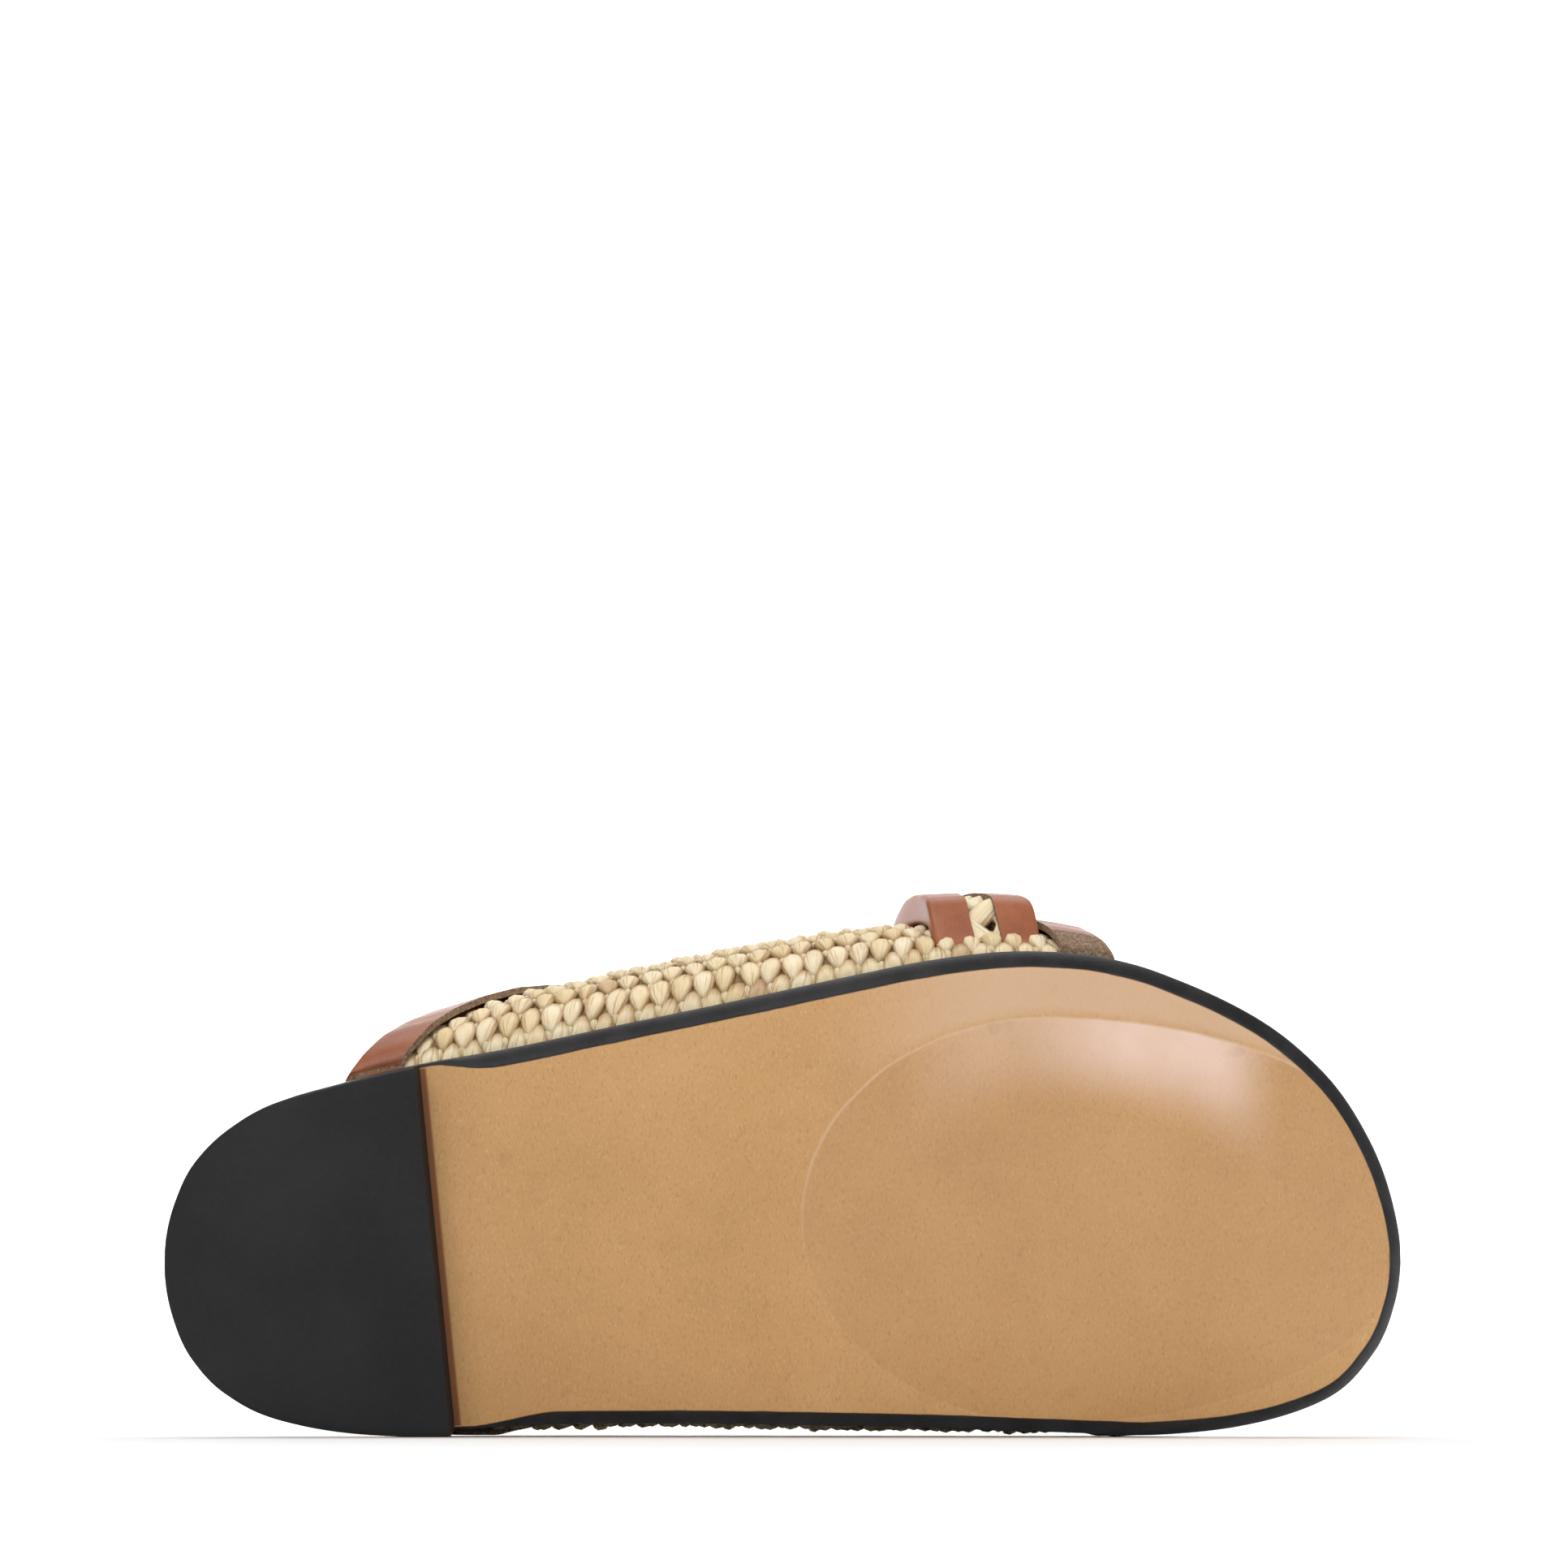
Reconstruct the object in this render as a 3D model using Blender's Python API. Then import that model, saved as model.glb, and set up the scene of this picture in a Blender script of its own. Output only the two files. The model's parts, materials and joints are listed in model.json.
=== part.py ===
"""Right raffia slipper, open at toe and heel, lying on its medial side.

The shoe is drawn upright: X runs from the heel to the toe, +Y is the medial
(big toe) side and Z is up from the plane that heel and forefoot tread on.
An empty then lays it down, until the edge of the sole and the widest rows of
the upper touch the floor together.
"""

import bmesh
import bpy
import numpy as np
from math import cos, pi, radians, sin

# Sole, in metres
LENGTH = 0.245
BALL_WIDTH = 0.094
SOLE_THICKNESS = 0.008
HEEL_HEIGHT = 0.007
TOE_SPRING = 0.005
BEVEL_WIDTH = 0.0028
BEVEL_DEPTH = 0.0022
SOLE_EDGE_ROUND = 0.0006
HEEL_CHAMFER = 0.0010

# Insole, in metres
INSOLE_THICKNESS = 0.003
INSOLE_MARGIN = 0.0022
INSOLE_EDGE_ROUND = 0.0008

# Upper, in metres
INSTEP_HEIGHT = 0.074
LATERAL_BULGE = 0.0106
MEDIAL_BULGE = 0.0070
CROWN_SHIFT = 0.006
WALL = 0.0036
ROW_RISE = 0.0012
ROW_PITCH = 0.0056
WALL_INSET = 0.0027

# Leather bindings and strap, in metres
BINDING_WIDTH = 0.008
LEATHER = 0.0014
STRAP_WIDTH = 0.0225
STRAP_THICKNESS = 0.0028
STRAP_RISE = 0.0008
STRAP_BINDING_WIDTH = 0.0062

# Clearance between pieces that touch on the real shoe, and in a fold's bend
GAP = 0.0003
FOLD_GAP = 0.0007

# Places along the sole, as shares of its length
BREAST_LATERAL = 0.199
BREAST_MEDIAL = 0.231
HEEL_SEAT_END = 0.236
TREAD_START = 0.560
TREAD_END = 0.820
BEVEL_FULL_LATERAL = 0.262
BEVEL_FULL_MEDIAL = 0.318

# How late the wall leans out below its widest row, lateral and medial
WALL_LEAN = (1.0, 1.4)

# Sole outline: share of the length, then the distance from the line through
# heel tip and toe tip to the lateral and medial edge, as shares of the width
OUTLINE = (
    (0.007, 0.124, 0.108),
    (0.024, 0.214, 0.200),
    (0.050, 0.280, 0.268),
    (0.083, 0.330, 0.314),
    (0.130, 0.366, 0.343),
    (0.200, 0.409, 0.357),
    (0.260, 0.436, 0.354),
    (0.365, 0.494, 0.344),
    (0.456, 0.544, 0.338),
    (0.555, 0.600, 0.338),
    (0.620, 0.633, 0.342),
    (0.686, 0.651, 0.348),
    (0.750, 0.642, 0.354),
    (0.785, 0.622, 0.357),
    (0.817, 0.592, 0.353),
    (0.883, 0.509, 0.330),
    (0.935, 0.400, 0.287),
    (0.974, 0.256, 0.200),
    (0.994, 0.118, 0.096),
)
REAR_TIP = (0.0, 0.005)
TOE_TIP = (1.0, -0.008)

# Upper's form: share of the length, then crown height, lateral bulge and
# medial bulge as shares of their largest values, then the level of the widest
# row on each side as a share of the section's height
FORM = (
    (0.10, 1.03, 0.62, 0.78, 0.36, 0.42),
    (0.20, 1.05, 0.80, 0.84, 0.36, 0.42),
    (0.28, 1.04, 0.97, 0.92, 0.36, 0.42),
    (0.42, 1.00, 0.98, 0.95, 0.37, 0.44),
    (0.55, 0.87, 0.84, 0.97, 0.39, 0.49),
    (0.62, 0.79, 0.66, 0.94, 0.41, 0.54),
    (0.69, 0.71, 0.50, 0.84, 0.43, 0.58),
    (0.76, 0.63, 0.34, 0.62, 0.45, 0.62),
    (0.82, 0.58, 0.24, 0.38, 0.46, 0.64),
    (0.92, 0.50, 0.16, 0.10, 0.46, 0.64),
)

# Upper's edges: share of the girth from the lateral to the medial foot of the
# wall, then the rear edge and the front edge as shares of the length
EDGES = (
    (0.00, 0.142, 0.760),
    (0.12, 0.192, 0.738),
    (0.30, 0.320, 0.694),
    (0.50, 0.420, 0.660),
    (0.70, 0.335, 0.716),
    (0.88, 0.208, 0.800),
    (1.00, 0.165, 0.830),
)

# Strap's run: share of the girth, middle of the strap as a share of the
# length, and its width as a share of the width at the lateral end
STRAP_RUN = (
    (0.00, 0.675, 1.00),
    (0.12, 0.652, 0.88),
    (0.30, 0.610, 0.74),
    (0.50, 0.578, 0.68),
    (0.72, 0.585, 0.68),
)
STRAP_ENDS = (0.006, 0.70)
BINDING_ENDS = (0.004, 0.996)

# Mesh steps
SOLE_STATIONS = 44
HEEL_STATIONS = 16
UPPER_STATIONS = 24
CURVE_STEPS = 12

LATERAL = 0
MEDIAL = 1


def smooth_path(points, closed=False):
    """Points on a cubic curve through the given points, tangents by chord."""
    path = np.asarray(points, dtype=float)
    if closed:
        path = np.vstack((path[-1:], path, path[:2]))
    else:
        path = np.vstack((2 * path[0] - path[1], path, 2 * path[-1] - path[-2]))
    chord = np.linalg.norm(np.diff(path, axis=0), axis=1)[:, None]
    slope = np.diff(path, axis=0) / chord
    weight = chord[1:] + chord[:-1]
    tangent = (slope[:-1] * chord[1:] + slope[1:] * chord[:-1]) / weight
    start, end, span = path[1:-2], path[2:-1], chord[1:-1]
    curve = []
    for step in range(CURVE_STEPS):
        t = step / CURVE_STEPS
        curve.append((2 * t**3 - 3 * t**2 + 1) * start
                     + (t**3 - 2 * t**2 + t) * span * tangent[:-1]
                     + (3 * t**2 - 2 * t**3) * end
                     + (t**3 - t**2) * span * tangent[1:])
    curve = np.stack(curve, axis=1).reshape(-1, path.shape[1])
    return curve if closed else np.vstack((curve, path[-2]))


def table_reader(table, column):
    """A smooth function of a table's first column."""
    curve = smooth_path([(row[0], row[column]) for row in table])
    return lambda share: np.interp(share, curve[:, 0], curve[:, 1])


def ease(value, start, end):
    """Rises from 0 at start to 1 at end with soft ends."""
    t = np.clip((value - start) / (end - start), 0.0, 1.0)
    return t * t * (3.0 - 2.0 * t)


crown_share = table_reader(FORM, 1)
bulge_shares = (table_reader(FORM, 2), table_reader(FORM, 3))
widest_levels = (table_reader(FORM, 4), table_reader(FORM, 5))
rear_edge = table_reader(EDGES, 1)
front_edge = table_reader(EDGES, 2)
strap_middle = table_reader(STRAP_RUN, 1)
strap_share = table_reader(STRAP_RUN, 2)


def outline_sides():
    """Lateral and medial edge of the sole: x, y and outward normal, by x."""
    lateral = [(row[0], -row[1]) for row in OUTLINE]
    medial = [(row[0], row[2]) for row in reversed(OUTLINE)]
    shares = [REAR_TIP] + lateral + [(TOE_TIP[0], -TOE_TIP[1])] + medial
    loop = smooth_path(shares, closed=True) * (LENGTH, BALL_WIDTH)
    along = np.roll(loop, -1, axis=0) - np.roll(loop, 1, axis=0)
    along /= np.linalg.norm(along, axis=1)[:, None]
    rows = np.column_stack((loop, along[:, 1], -along[:, 0]))
    toe = (len(lateral) + 1) * CURVE_STEPS
    sides = (rows[:toe + 1], np.vstack((rows[toe:], rows[:1]))[::-1])
    for side in sides:
        side[:, 0] = np.maximum.accumulate(np.clip(side[:, 0], 0.0, LENGTH))
    return sides


SIDES = outline_sides()


def edge_y(side, x):
    """Distance of the sole's edge from the line through its tips."""
    return np.interp(x, SIDES[side][:, 0], SIDES[side][:, 1])


def edge_point(side, x, inset):
    """Point on the sole's edge, moved inward square to the edge."""
    rows = SIDES[side]
    normal_x = np.interp(x, rows[:, 0], rows[:, 2])
    normal_y = np.interp(x, rows[:, 0], rows[:, 3])
    inward = -inset / np.hypot(normal_x, normal_y)
    return x + inward * normal_x, edge_y(side, x) + inward * normal_y


def sole_bottom(x):
    """Underside of the outsole: flat heel seat, waist, flat tread, toe spring."""
    share = x / LENGTH
    waist = 1.0 - ease(share, HEEL_SEAT_END, TREAD_START)
    spring = np.clip((share - TREAD_END) / (1.0 - TREAD_END), 0.0, 1.0) ** 2
    return (HEEL_HEIGHT + GAP) * waist + TOE_SPRING * spring


def sole_top(x):
    """Upper face of the outsole."""
    return sole_bottom(x) + SOLE_THICKNESS


def bevel_share(side, x):
    """How far the painted bevel has grown, from the heel breast forward."""
    breast = (BREAST_LATERAL, BREAST_MEDIAL)[side]
    full = (BEVEL_FULL_LATERAL, BEVEL_FULL_MEDIAL)[side]
    return np.maximum(ease(x / LENGTH, breast, full), 0.1)


def insole_inset(side, x):
    """Inset of the insole, deeper inside the wall and inside its bindings."""
    share = x / LENGTH
    rear, front = EDGES[0][1:] if side == LATERAL else EDGES[-1][1:]
    band = BINDING_WIDTH / LENGTH
    run = 0.8 * band
    in_wall = ease(share, rear - 2.4 * band, rear - 1.3 * band)
    in_wall *= 1.0 - ease(share, front + 1.3 * band, front + 2.4 * band)
    mid_wall = ease(share, rear + 1.2 * band, rear + 1.2 * band + run)
    mid_wall *= 1.0 - ease(share, front - 1.2 * band - run, front - 1.2 * band)
    wall_inset = WALL_INSET + WALL + GAP + (LEATHER + 2 * GAP) * (1.0 - mid_wall)
    return INSOLE_MARGIN + (wall_inset - INSOLE_MARGIN) * in_wall


def plate_ring(stations, insets, heights, open_front=False):
    """One closed ring round a plate; stations hold x for each side."""
    sides = []
    for side in (LATERAL, MEDIAL):
        x, y = edge_point(side, stations[side], insets[side])
        sides.append(np.column_stack((x, y, heights[side](x, stations[side]))))
    lateral, medial = sides
    if open_front:
        return np.vstack((lateral, medial[:0:-1]))
    return np.vstack((lateral, medial[-2:0:-1]))


def ladder(size, open_front=False):
    """Faces across a plate's ring, from its lateral to its medial points."""
    half = (size + 1) // 2
    faces = [(0, 1, size - 1)]
    faces += [(k, k + 1, size - k - 1, size - k) for k in range(1, half - 1)]
    if not open_front:
        faces.append((half - 1, half, half + 1))
    return faces


def loft(rings, cap):
    """Vertices and faces of a body through closed rings, capped at both ends."""
    count, size = len(rings), len(rings[0])
    faces = []
    for i in range(count - 1):
        for j in range(size):
            after = (j + 1) % size
            faces.append((i * size + j, i * size + after,
                          (i + 1) * size + after, (i + 1) * size + j))
    last = (count - 1) * size
    faces += [tuple(reversed(face)) for face in cap]
    faces += [tuple(last + k for k in face) for face in cap]
    return np.vstack(rings), faces


def section(x):
    """Arch across the upper at x: y and z from lateral to medial foot."""
    share = x / LENGTH
    foot = sole_top(x) + GAP
    crown = INSTEP_HEIGHT * crown_share(share)
    bulges = (LATERAL_BULGE, MEDIAL_BULGE)
    wide_y = []
    foot_y = []
    for side, sign in ((LATERAL, -1.0), (MEDIAL, 1.0)):
        bulge = bulges[side] * bulge_shares[side](share) - ROW_RISE
        wide_y.append(edge_y(side, x) + sign * bulge)
        foot_y.append(edge_y(side, x) - sign * WALL_INSET)
    crown_y = 0.5 * (wide_y[LATERAL] + wide_y[MEDIAL]) + CROWN_SHIFT
    halves = []
    for side in (LATERAL, MEDIAL):
        wide_z = foot + widest_levels[side](share) * (crown - foot)
        t = np.linspace(0.0, 1.0, 14)
        lean = np.sin(0.5 * pi * t) ** WALL_LEAN[side]
        rise = 0.7 * t + 0.3 * (1.0 - np.cos(0.5 * pi * t))
        low_y = foot_y[side] + (wide_y[side] - foot_y[side]) * lean
        low_z = foot + (wide_z - foot) * rise
        angle = np.linspace(0.0, 0.5 * pi, 30)[1:]
        high_y = crown_y + (wide_y[side] - crown_y) * np.cos(angle) ** 0.86
        high_z = wide_z + (crown - wide_z) * np.sin(angle) ** 0.92
        halves.append((np.append(low_y, high_y), np.append(low_z, high_z)))
    y = np.append(halves[LATERAL][0], halves[MEDIAL][0][-2::-1])
    z = np.append(halves[LATERAL][1], halves[MEDIAL][1][-2::-1])
    return y, z


def girth(x):
    """Length of the arch across the upper."""
    y, z = section(x)
    return float(np.hypot(np.diff(y), np.diff(z)).sum())


def surface(x, share):
    """Point on the wall's outer face at x and at a share of the girth."""
    y, z = section(x)
    run = np.append(0.0, np.cumsum(np.hypot(np.diff(y), np.diff(z))))
    run /= run[-1]
    return np.array((x, np.interp(share, run, y), np.interp(share, run, z)))


def surface_normal(x, share):
    """Outward normal of the wall, level at its feet."""
    step_x, step_share = 0.002, 0.008
    before, after = max(share - step_share, 0.0), min(share + step_share, 1.0)
    along = surface(x + step_x, share) - surface(x - step_x, share)
    around = surface(x, after) - surface(x, before)
    normal = np.cross(along, around)
    normal /= np.linalg.norm(normal)
    normal[2] *= ease(min(share, 1.0 - share), 0.0, 0.05)
    return normal / np.linalg.norm(normal)


def on_wall(x, share, rise):
    """Point at a distance outside the wall's outer face."""
    return surface(x, share) + rise * surface_normal(x, share)


def row_count():
    """Rows of stitches round the upper where it is widest."""
    stations = np.linspace(EDGES[0][1], EDGES[-1][2], 12) * LENGTH
    return round(max(girth(x) for x in stations) / ROW_PITCH)


def upper_mesh():
    """Wall with one raised ridge for each row of stitches."""
    rows = row_count()
    outer_shares = np.linspace(0.0, 1.0, 2 * rows + 1)
    inner_shares = np.linspace(1.0, 0.0, rows + 1)
    rings = []
    for step in np.linspace(0.0, 1.0, UPPER_STATIONS):
        ring = []
        for k, share in enumerate(outer_shares):
            x = LENGTH * ((1 - step) * rear_edge(share) + step * front_edge(share))
            ring.append(on_wall(x, share, ROW_RISE * (k % 2)))
        for share in inner_shares:
            x = LENGTH * ((1 - step) * rear_edge(share) + step * front_edge(share))
            ring.append(on_wall(x, share, -WALL))
        rings.append(np.array(ring))
    size = len(rings[0])
    cap = [(2 * k, 2 * k + 1, 2 * k + 2, size - 2 - k, size - 1 - k)
           for k in range(rows)]
    return loft(rings, cap)


def row_crests(ends):
    """Shares of the girth at the rows' crests, from one end to the other."""
    rows = row_count()
    crests = (np.arange(rows) + 0.5) / rows
    inside = (crests > ends[0] + 0.2 / rows) & (crests < ends[1] - 0.2 / rows)
    return np.concatenate(([ends[0]], crests[inside], [ends[1]]))


def swept_mesh(profile, middle, ends):
    """A profile carried round the upper.

    The profile holds distances along the rows and above the wall; middle
    gives x and a stretch for the distances at each share of the girth.
    """
    rings = []
    for share in row_crests(ends):
        x, stretch = middle(share)
        rings.append(np.array([on_wall(x + stretch * along, share, rise)
                               for along, rise in profile(share)]))
    return loft(rings, [tuple(range(len(rings[0])))])


def fold_profile(edge, reach, low, high):
    """Leather folded over an edge: edge is its outer end along the rows.

    Reach is the signed width of the legs; low and high are the faces of what
    the leather grips. The outer corners are rounded off.
    """
    away = -1.0 if reach > 0 else 1.0
    inside = edge + away * FOLD_GAP
    outside = inside + away * LEATHER
    tip = edge - away * abs(reach)
    corner = 0.4 * LEATHER
    top, bottom = high + GAP, low - GAP
    return [
        (tip, top), (inside, top), (inside, bottom), (tip, bottom),
        (tip, bottom - LEATHER), (outside - away * corner, bottom - LEATHER),
        (outside, bottom - LEATHER + corner), (outside, top + LEATHER - corner),
        (outside - away * corner, top + LEATHER), (tip, top + LEATHER),
    ]


def slant(edge, share):
    """Stretch along the rows that keeps a binding's width square to its edge."""
    step = 0.01
    before, after = max(share - step, 0.0), min(share + step, 1.0)
    start = surface(LENGTH * edge(before), before)
    along = surface(LENGTH * edge(after), after) - start
    along /= np.linalg.norm(along)
    return 1.0 / max(np.hypot(along[1], along[2]), 0.55)


def edge_binding_mesh(edge, direction):
    """Leather folded over the upper's rear (+1) or front (-1) edge."""
    def profile(share):
        return fold_profile(0.0, direction * BINDING_WIDTH, -WALL - GAP, ROW_RISE)

    def middle(share):
        return LENGTH * edge(share), slant(edge, share)

    return swept_mesh(profile, middle, BINDING_ENDS)


def strap_levels():
    """Faces of the strap's raffia above the wall, clear of its leather."""
    low = ROW_RISE + GAP + LEATHER + GAP
    return low, low + STRAP_THICKNESS


def strap_half(share):
    """Half of the strap's width inside its bindings' folds."""
    return 0.5 * STRAP_WIDTH * strap_share(share) - LEATHER - FOLD_GAP


def strap_place(share):
    """Middle of the strap, with no stretch."""
    return LENGTH * strap_middle(share), 1.0


def strap_mesh():
    """Flat raffia strap with rows raised along its length."""
    low, high = strap_levels()

    def profile(share):
        half = strap_half(share)
        ridges = 4
        steps = np.linspace(-half, half, 2 * ridges + 1)
        face = [(a, high - STRAP_RISE * (1 - k % 2)) for k, a in enumerate(steps)]
        return face + [(half, low), (0.0, low), (-half, low)]

    return swept_mesh(profile, strap_place, STRAP_ENDS)


def strap_binding_mesh(direction):
    """Leather folded over the strap's rear (+1) or front (-1) edge."""
    low, high = strap_levels()

    def profile(share):
        edge = -direction * strap_half(share)
        return fold_profile(edge, direction * STRAP_BINDING_WIDTH * strap_share(share),
                            low, high)

    return swept_mesh(profile, strap_place, STRAP_ENDS)


def full_stations(count):
    """Stations from tip to tip, closer together at the round ends."""
    x = 0.5 * LENGTH * (1.0 - np.cos(np.linspace(0.0, pi, count)))
    return x, x


def outsole_mesh():
    """Leather outsole with its painted bevel and square upper edge."""
    stations = full_stations(SOLE_STATIONS)
    none = (np.zeros(SOLE_STATIONS), np.zeros(SOLE_STATIONS))
    shares = [bevel_share(side, stations[side]) for side in (LATERAL, MEDIAL)]
    bevel = [BEVEL_WIDTH * share for share in shares]
    rounding = (none[0] + SOLE_EDGE_ROUND, none[1] + SOLE_EDGE_ROUND)

    def bottom(x, station):
        return sole_bottom(x)

    def above_bevel(side):
        return lambda x, station: sole_bottom(x) + BEVEL_DEPTH * bevel_share(side, station)

    def below_top(x, station):
        return sole_top(x) - SOLE_EDGE_ROUND

    def top(x, station):
        return sole_top(x)

    rings = [
        plate_ring(stations, bevel, (bottom, bottom)),
        plate_ring(stations, none, (above_bevel(LATERAL), above_bevel(MEDIAL))),
        plate_ring(stations, none, (below_top, below_top)),
        plate_ring(stations, rounding, (top, top)),
    ]
    return loft(rings, ladder(len(rings[0])))


def heel_mesh():
    """Rubber heel under the flat seat, cut off at its slanted breast."""
    spread = 1.0 - np.cos(np.linspace(0.0, 0.5 * pi, HEEL_STATIONS))
    stations = (LENGTH * BREAST_LATERAL * spread, LENGTH * BREAST_MEDIAL * spread)
    none = (np.zeros(HEEL_STATIONS), np.zeros(HEEL_STATIONS))
    chamfer = (none[0] + HEEL_CHAMFER, none[1] + HEEL_CHAMFER)

    def level(height):
        flat = lambda x, station: np.full(len(x), height)
        return flat, flat

    rings = [
        plate_ring(stations, chamfer, level(0.0), open_front=True),
        plate_ring(stations, none, level(HEEL_CHAMFER), open_front=True),
        plate_ring(stations, none, level(HEEL_HEIGHT), open_front=True),
    ]
    return loft(rings, ladder(len(rings[0]), open_front=True))


def insole_mesh():
    """Leather footbed inside the wall, with a rounded upper edge."""
    stations = full_stations(SOLE_STATIONS)
    insets = [insole_inset(side, stations[side]) for side in (LATERAL, MEDIAL)]
    rounded = [inset + INSOLE_EDGE_ROUND for inset in insets]

    def above_sole(height):
        face = lambda x, station: sole_top(x) + GAP + height
        return face, face

    rings = [
        plate_ring(stations, insets, above_sole(0.0)),
        plate_ring(stations, insets, above_sole(INSOLE_THICKNESS - INSOLE_EDGE_ROUND)),
        plate_ring(stations, rounded, above_sole(INSOLE_THICKNESS)),
    ]
    return loft(rings, ladder(len(rings[0])))


def principled(name, color, roughness):
    """Material of one piece."""
    material = bpy.data.materials.new(name)
    material.use_nodes = True
    shader = material.node_tree.nodes["Principled BSDF"]
    shader.inputs["Base Color"].default_value = (*color, 1.0)
    shader.inputs["Roughness"].default_value = roughness
    shader.inputs["Metallic"].default_value = 0.0
    return material


def add_piece(name, mesh_data, material, collection, parent):
    """One closed body with outward faces, in the upright shoe's frame."""
    vertices, faces = mesh_data
    mesh = bpy.data.meshes.new(name)
    mesh.from_pydata([tuple(v) for v in vertices], [], faces)
    body = bmesh.new()
    body.from_mesh(mesh)
    bmesh.ops.recalc_face_normals(body, faces=body.faces)
    body.to_mesh(mesh)
    body.free()
    mesh.shade_smooth()
    mesh.set_sharp_from_angle(angle=radians(30.0))
    mesh.materials.append(material)
    piece = bpy.data.objects.new(name, mesh)
    collection.objects.link(piece)
    piece.parent = parent
    return piece


def lowest(points, tilt):
    """Lowest point of a set when the shoe lies with its sole at this tilt."""
    return float((-points[:, 1] * cos(tilt) + points[:, 2] * sin(tilt)).min())


def resting_tilt(sole, upper):
    """Tilt at which the sole's edge and the upper reach the floor together."""
    low, high = radians(1.0), radians(45.0)
    for _ in range(48):
        middle = 0.5 * (low + high)
        if lowest(upper, middle) < lowest(sole, middle):
            low = middle
        else:
            high = middle
    return 0.5 * (low + high)


def lay_down(frame, meshes):
    """Turn the shoe's empty so that the shoe lies on its medial side."""
    sole = np.vstack([meshes[name][0] for name in ("outsole", "heel", "insole")])
    upper = np.vstack([meshes[name][0] for name in meshes
                       if name not in ("outsole", "heel", "insole")])
    tilt = resting_tilt(sole, upper)
    points = np.vstack((sole, upper))
    across = points[:, 1] * sin(tilt) + points[:, 2] * cos(tilt)
    height = points[:, 2] * sin(tilt) - points[:, 1] * cos(tilt)
    frame.rotation_euler = (tilt - 0.5 * pi, 0.0, 0.0)
    frame.location = (-0.5 * (points[:, 0].min() + points[:, 0].max()),
                      -0.5 * (across.min() + across.max()), -height.min())


def build_slipper():
    """All pieces of the slipper in one collection, under one empty."""
    for item in list(bpy.data.objects):
        bpy.data.objects.remove(item)
    collection = bpy.data.collections.new("raffia_slipper")
    bpy.context.scene.collection.children.link(collection)
    frame = bpy.data.objects.new("slipper_frame", None)
    collection.objects.link(frame)

    tan_leather = principled("tan_sole_leather", (0.515, 0.296, 0.133), 0.45)
    black_rubber = principled("black_heel_rubber", (0.025, 0.024, 0.026), 0.75)
    lining_leather = principled("lining_leather", (0.56, 0.37, 0.20), 0.55)
    raffia = principled("cream_raffia", (0.76, 0.60, 0.35), 0.70)
    brown_leather = principled("brown_binding_leather", (0.31, 0.115, 0.045), 0.40)

    meshes = {
        "outsole": outsole_mesh(),
        "heel": heel_mesh(),
        "insole": insole_mesh(),
        "upper": upper_mesh(),
        "binding_rear": edge_binding_mesh(rear_edge, 1.0),
        "binding_front": edge_binding_mesh(front_edge, -1.0),
        "strap": strap_mesh(),
        "strap_binding_rear": strap_binding_mesh(1.0),
        "strap_binding_front": strap_binding_mesh(-1.0),
    }
    materials = {
        "outsole": tan_leather,
        "heel": black_rubber,
        "insole": lining_leather,
        "upper": raffia,
        "strap": raffia,
    }
    lay_down(frame, meshes)
    for name, mesh_data in meshes.items():
        material = materials.get(name, brown_leather)
        add_piece(name, mesh_data, material, collection, frame)


build_slipper()
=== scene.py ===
"""Finish of a right raffia slipper that lies on its medial side.

The shoe's own sizes are given upright, as for its solids: X from the heel to
the toe, +Y to the medial side, Z up from the tread. Every surface is worked
out there and then turned into the frame in which the shoe lies down.
"""

import json
from math import pi, radians

import bpy
import numpy as np
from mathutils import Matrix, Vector


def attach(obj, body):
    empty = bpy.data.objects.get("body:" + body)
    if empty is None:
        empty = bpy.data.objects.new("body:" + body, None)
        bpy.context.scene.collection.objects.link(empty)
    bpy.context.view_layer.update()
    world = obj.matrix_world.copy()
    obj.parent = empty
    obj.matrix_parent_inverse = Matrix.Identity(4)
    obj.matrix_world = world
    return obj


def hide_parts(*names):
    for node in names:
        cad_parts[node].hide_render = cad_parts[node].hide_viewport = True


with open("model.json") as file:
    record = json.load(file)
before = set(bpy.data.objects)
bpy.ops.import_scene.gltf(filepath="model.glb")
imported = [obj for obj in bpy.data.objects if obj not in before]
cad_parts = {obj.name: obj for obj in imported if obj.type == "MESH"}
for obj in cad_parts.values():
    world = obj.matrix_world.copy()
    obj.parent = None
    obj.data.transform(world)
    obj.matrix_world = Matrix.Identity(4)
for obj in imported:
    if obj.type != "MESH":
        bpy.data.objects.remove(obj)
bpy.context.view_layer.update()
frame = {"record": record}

# Sole and insole, in metres
LENGTH = 0.245
BALL_WIDTH = 0.094
SOLE_THICKNESS = 0.008
HEEL_HEIGHT = 0.007
TOE_SPRING = 0.005
BEVEL_WIDTH = 0.0028
BEVEL_DEPTH = 0.0022
INSOLE_THICKNESS = 0.003
INSOLE_MARGIN = 0.0022

# Upper, bindings and strap, in metres. GAP is left between pieces that lie on
# each other, FOLD_GAP between an edge and the bend of its binding.
INSTEP_HEIGHT = 0.074
BULGE = (0.0106, 0.0070)
CROWN_SHIFT = 0.006
WALL = 0.0036
ROW_RISE = 0.0012
ROW_PITCH = 0.0074
STITCH_PITCH = 0.0045
WALL_INSET = 0.0027
BINDING_WIDTH = 0.008
LEATHER = 0.0014
STRAP_WIDTH = 0.0225
STRAP_THICKNESS = 0.0028
STRAP_BINDING_WIDTH = 0.0062
GAP = 0.0003
FOLD_GAP = 0.0007
LINING = 0.0011

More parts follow.
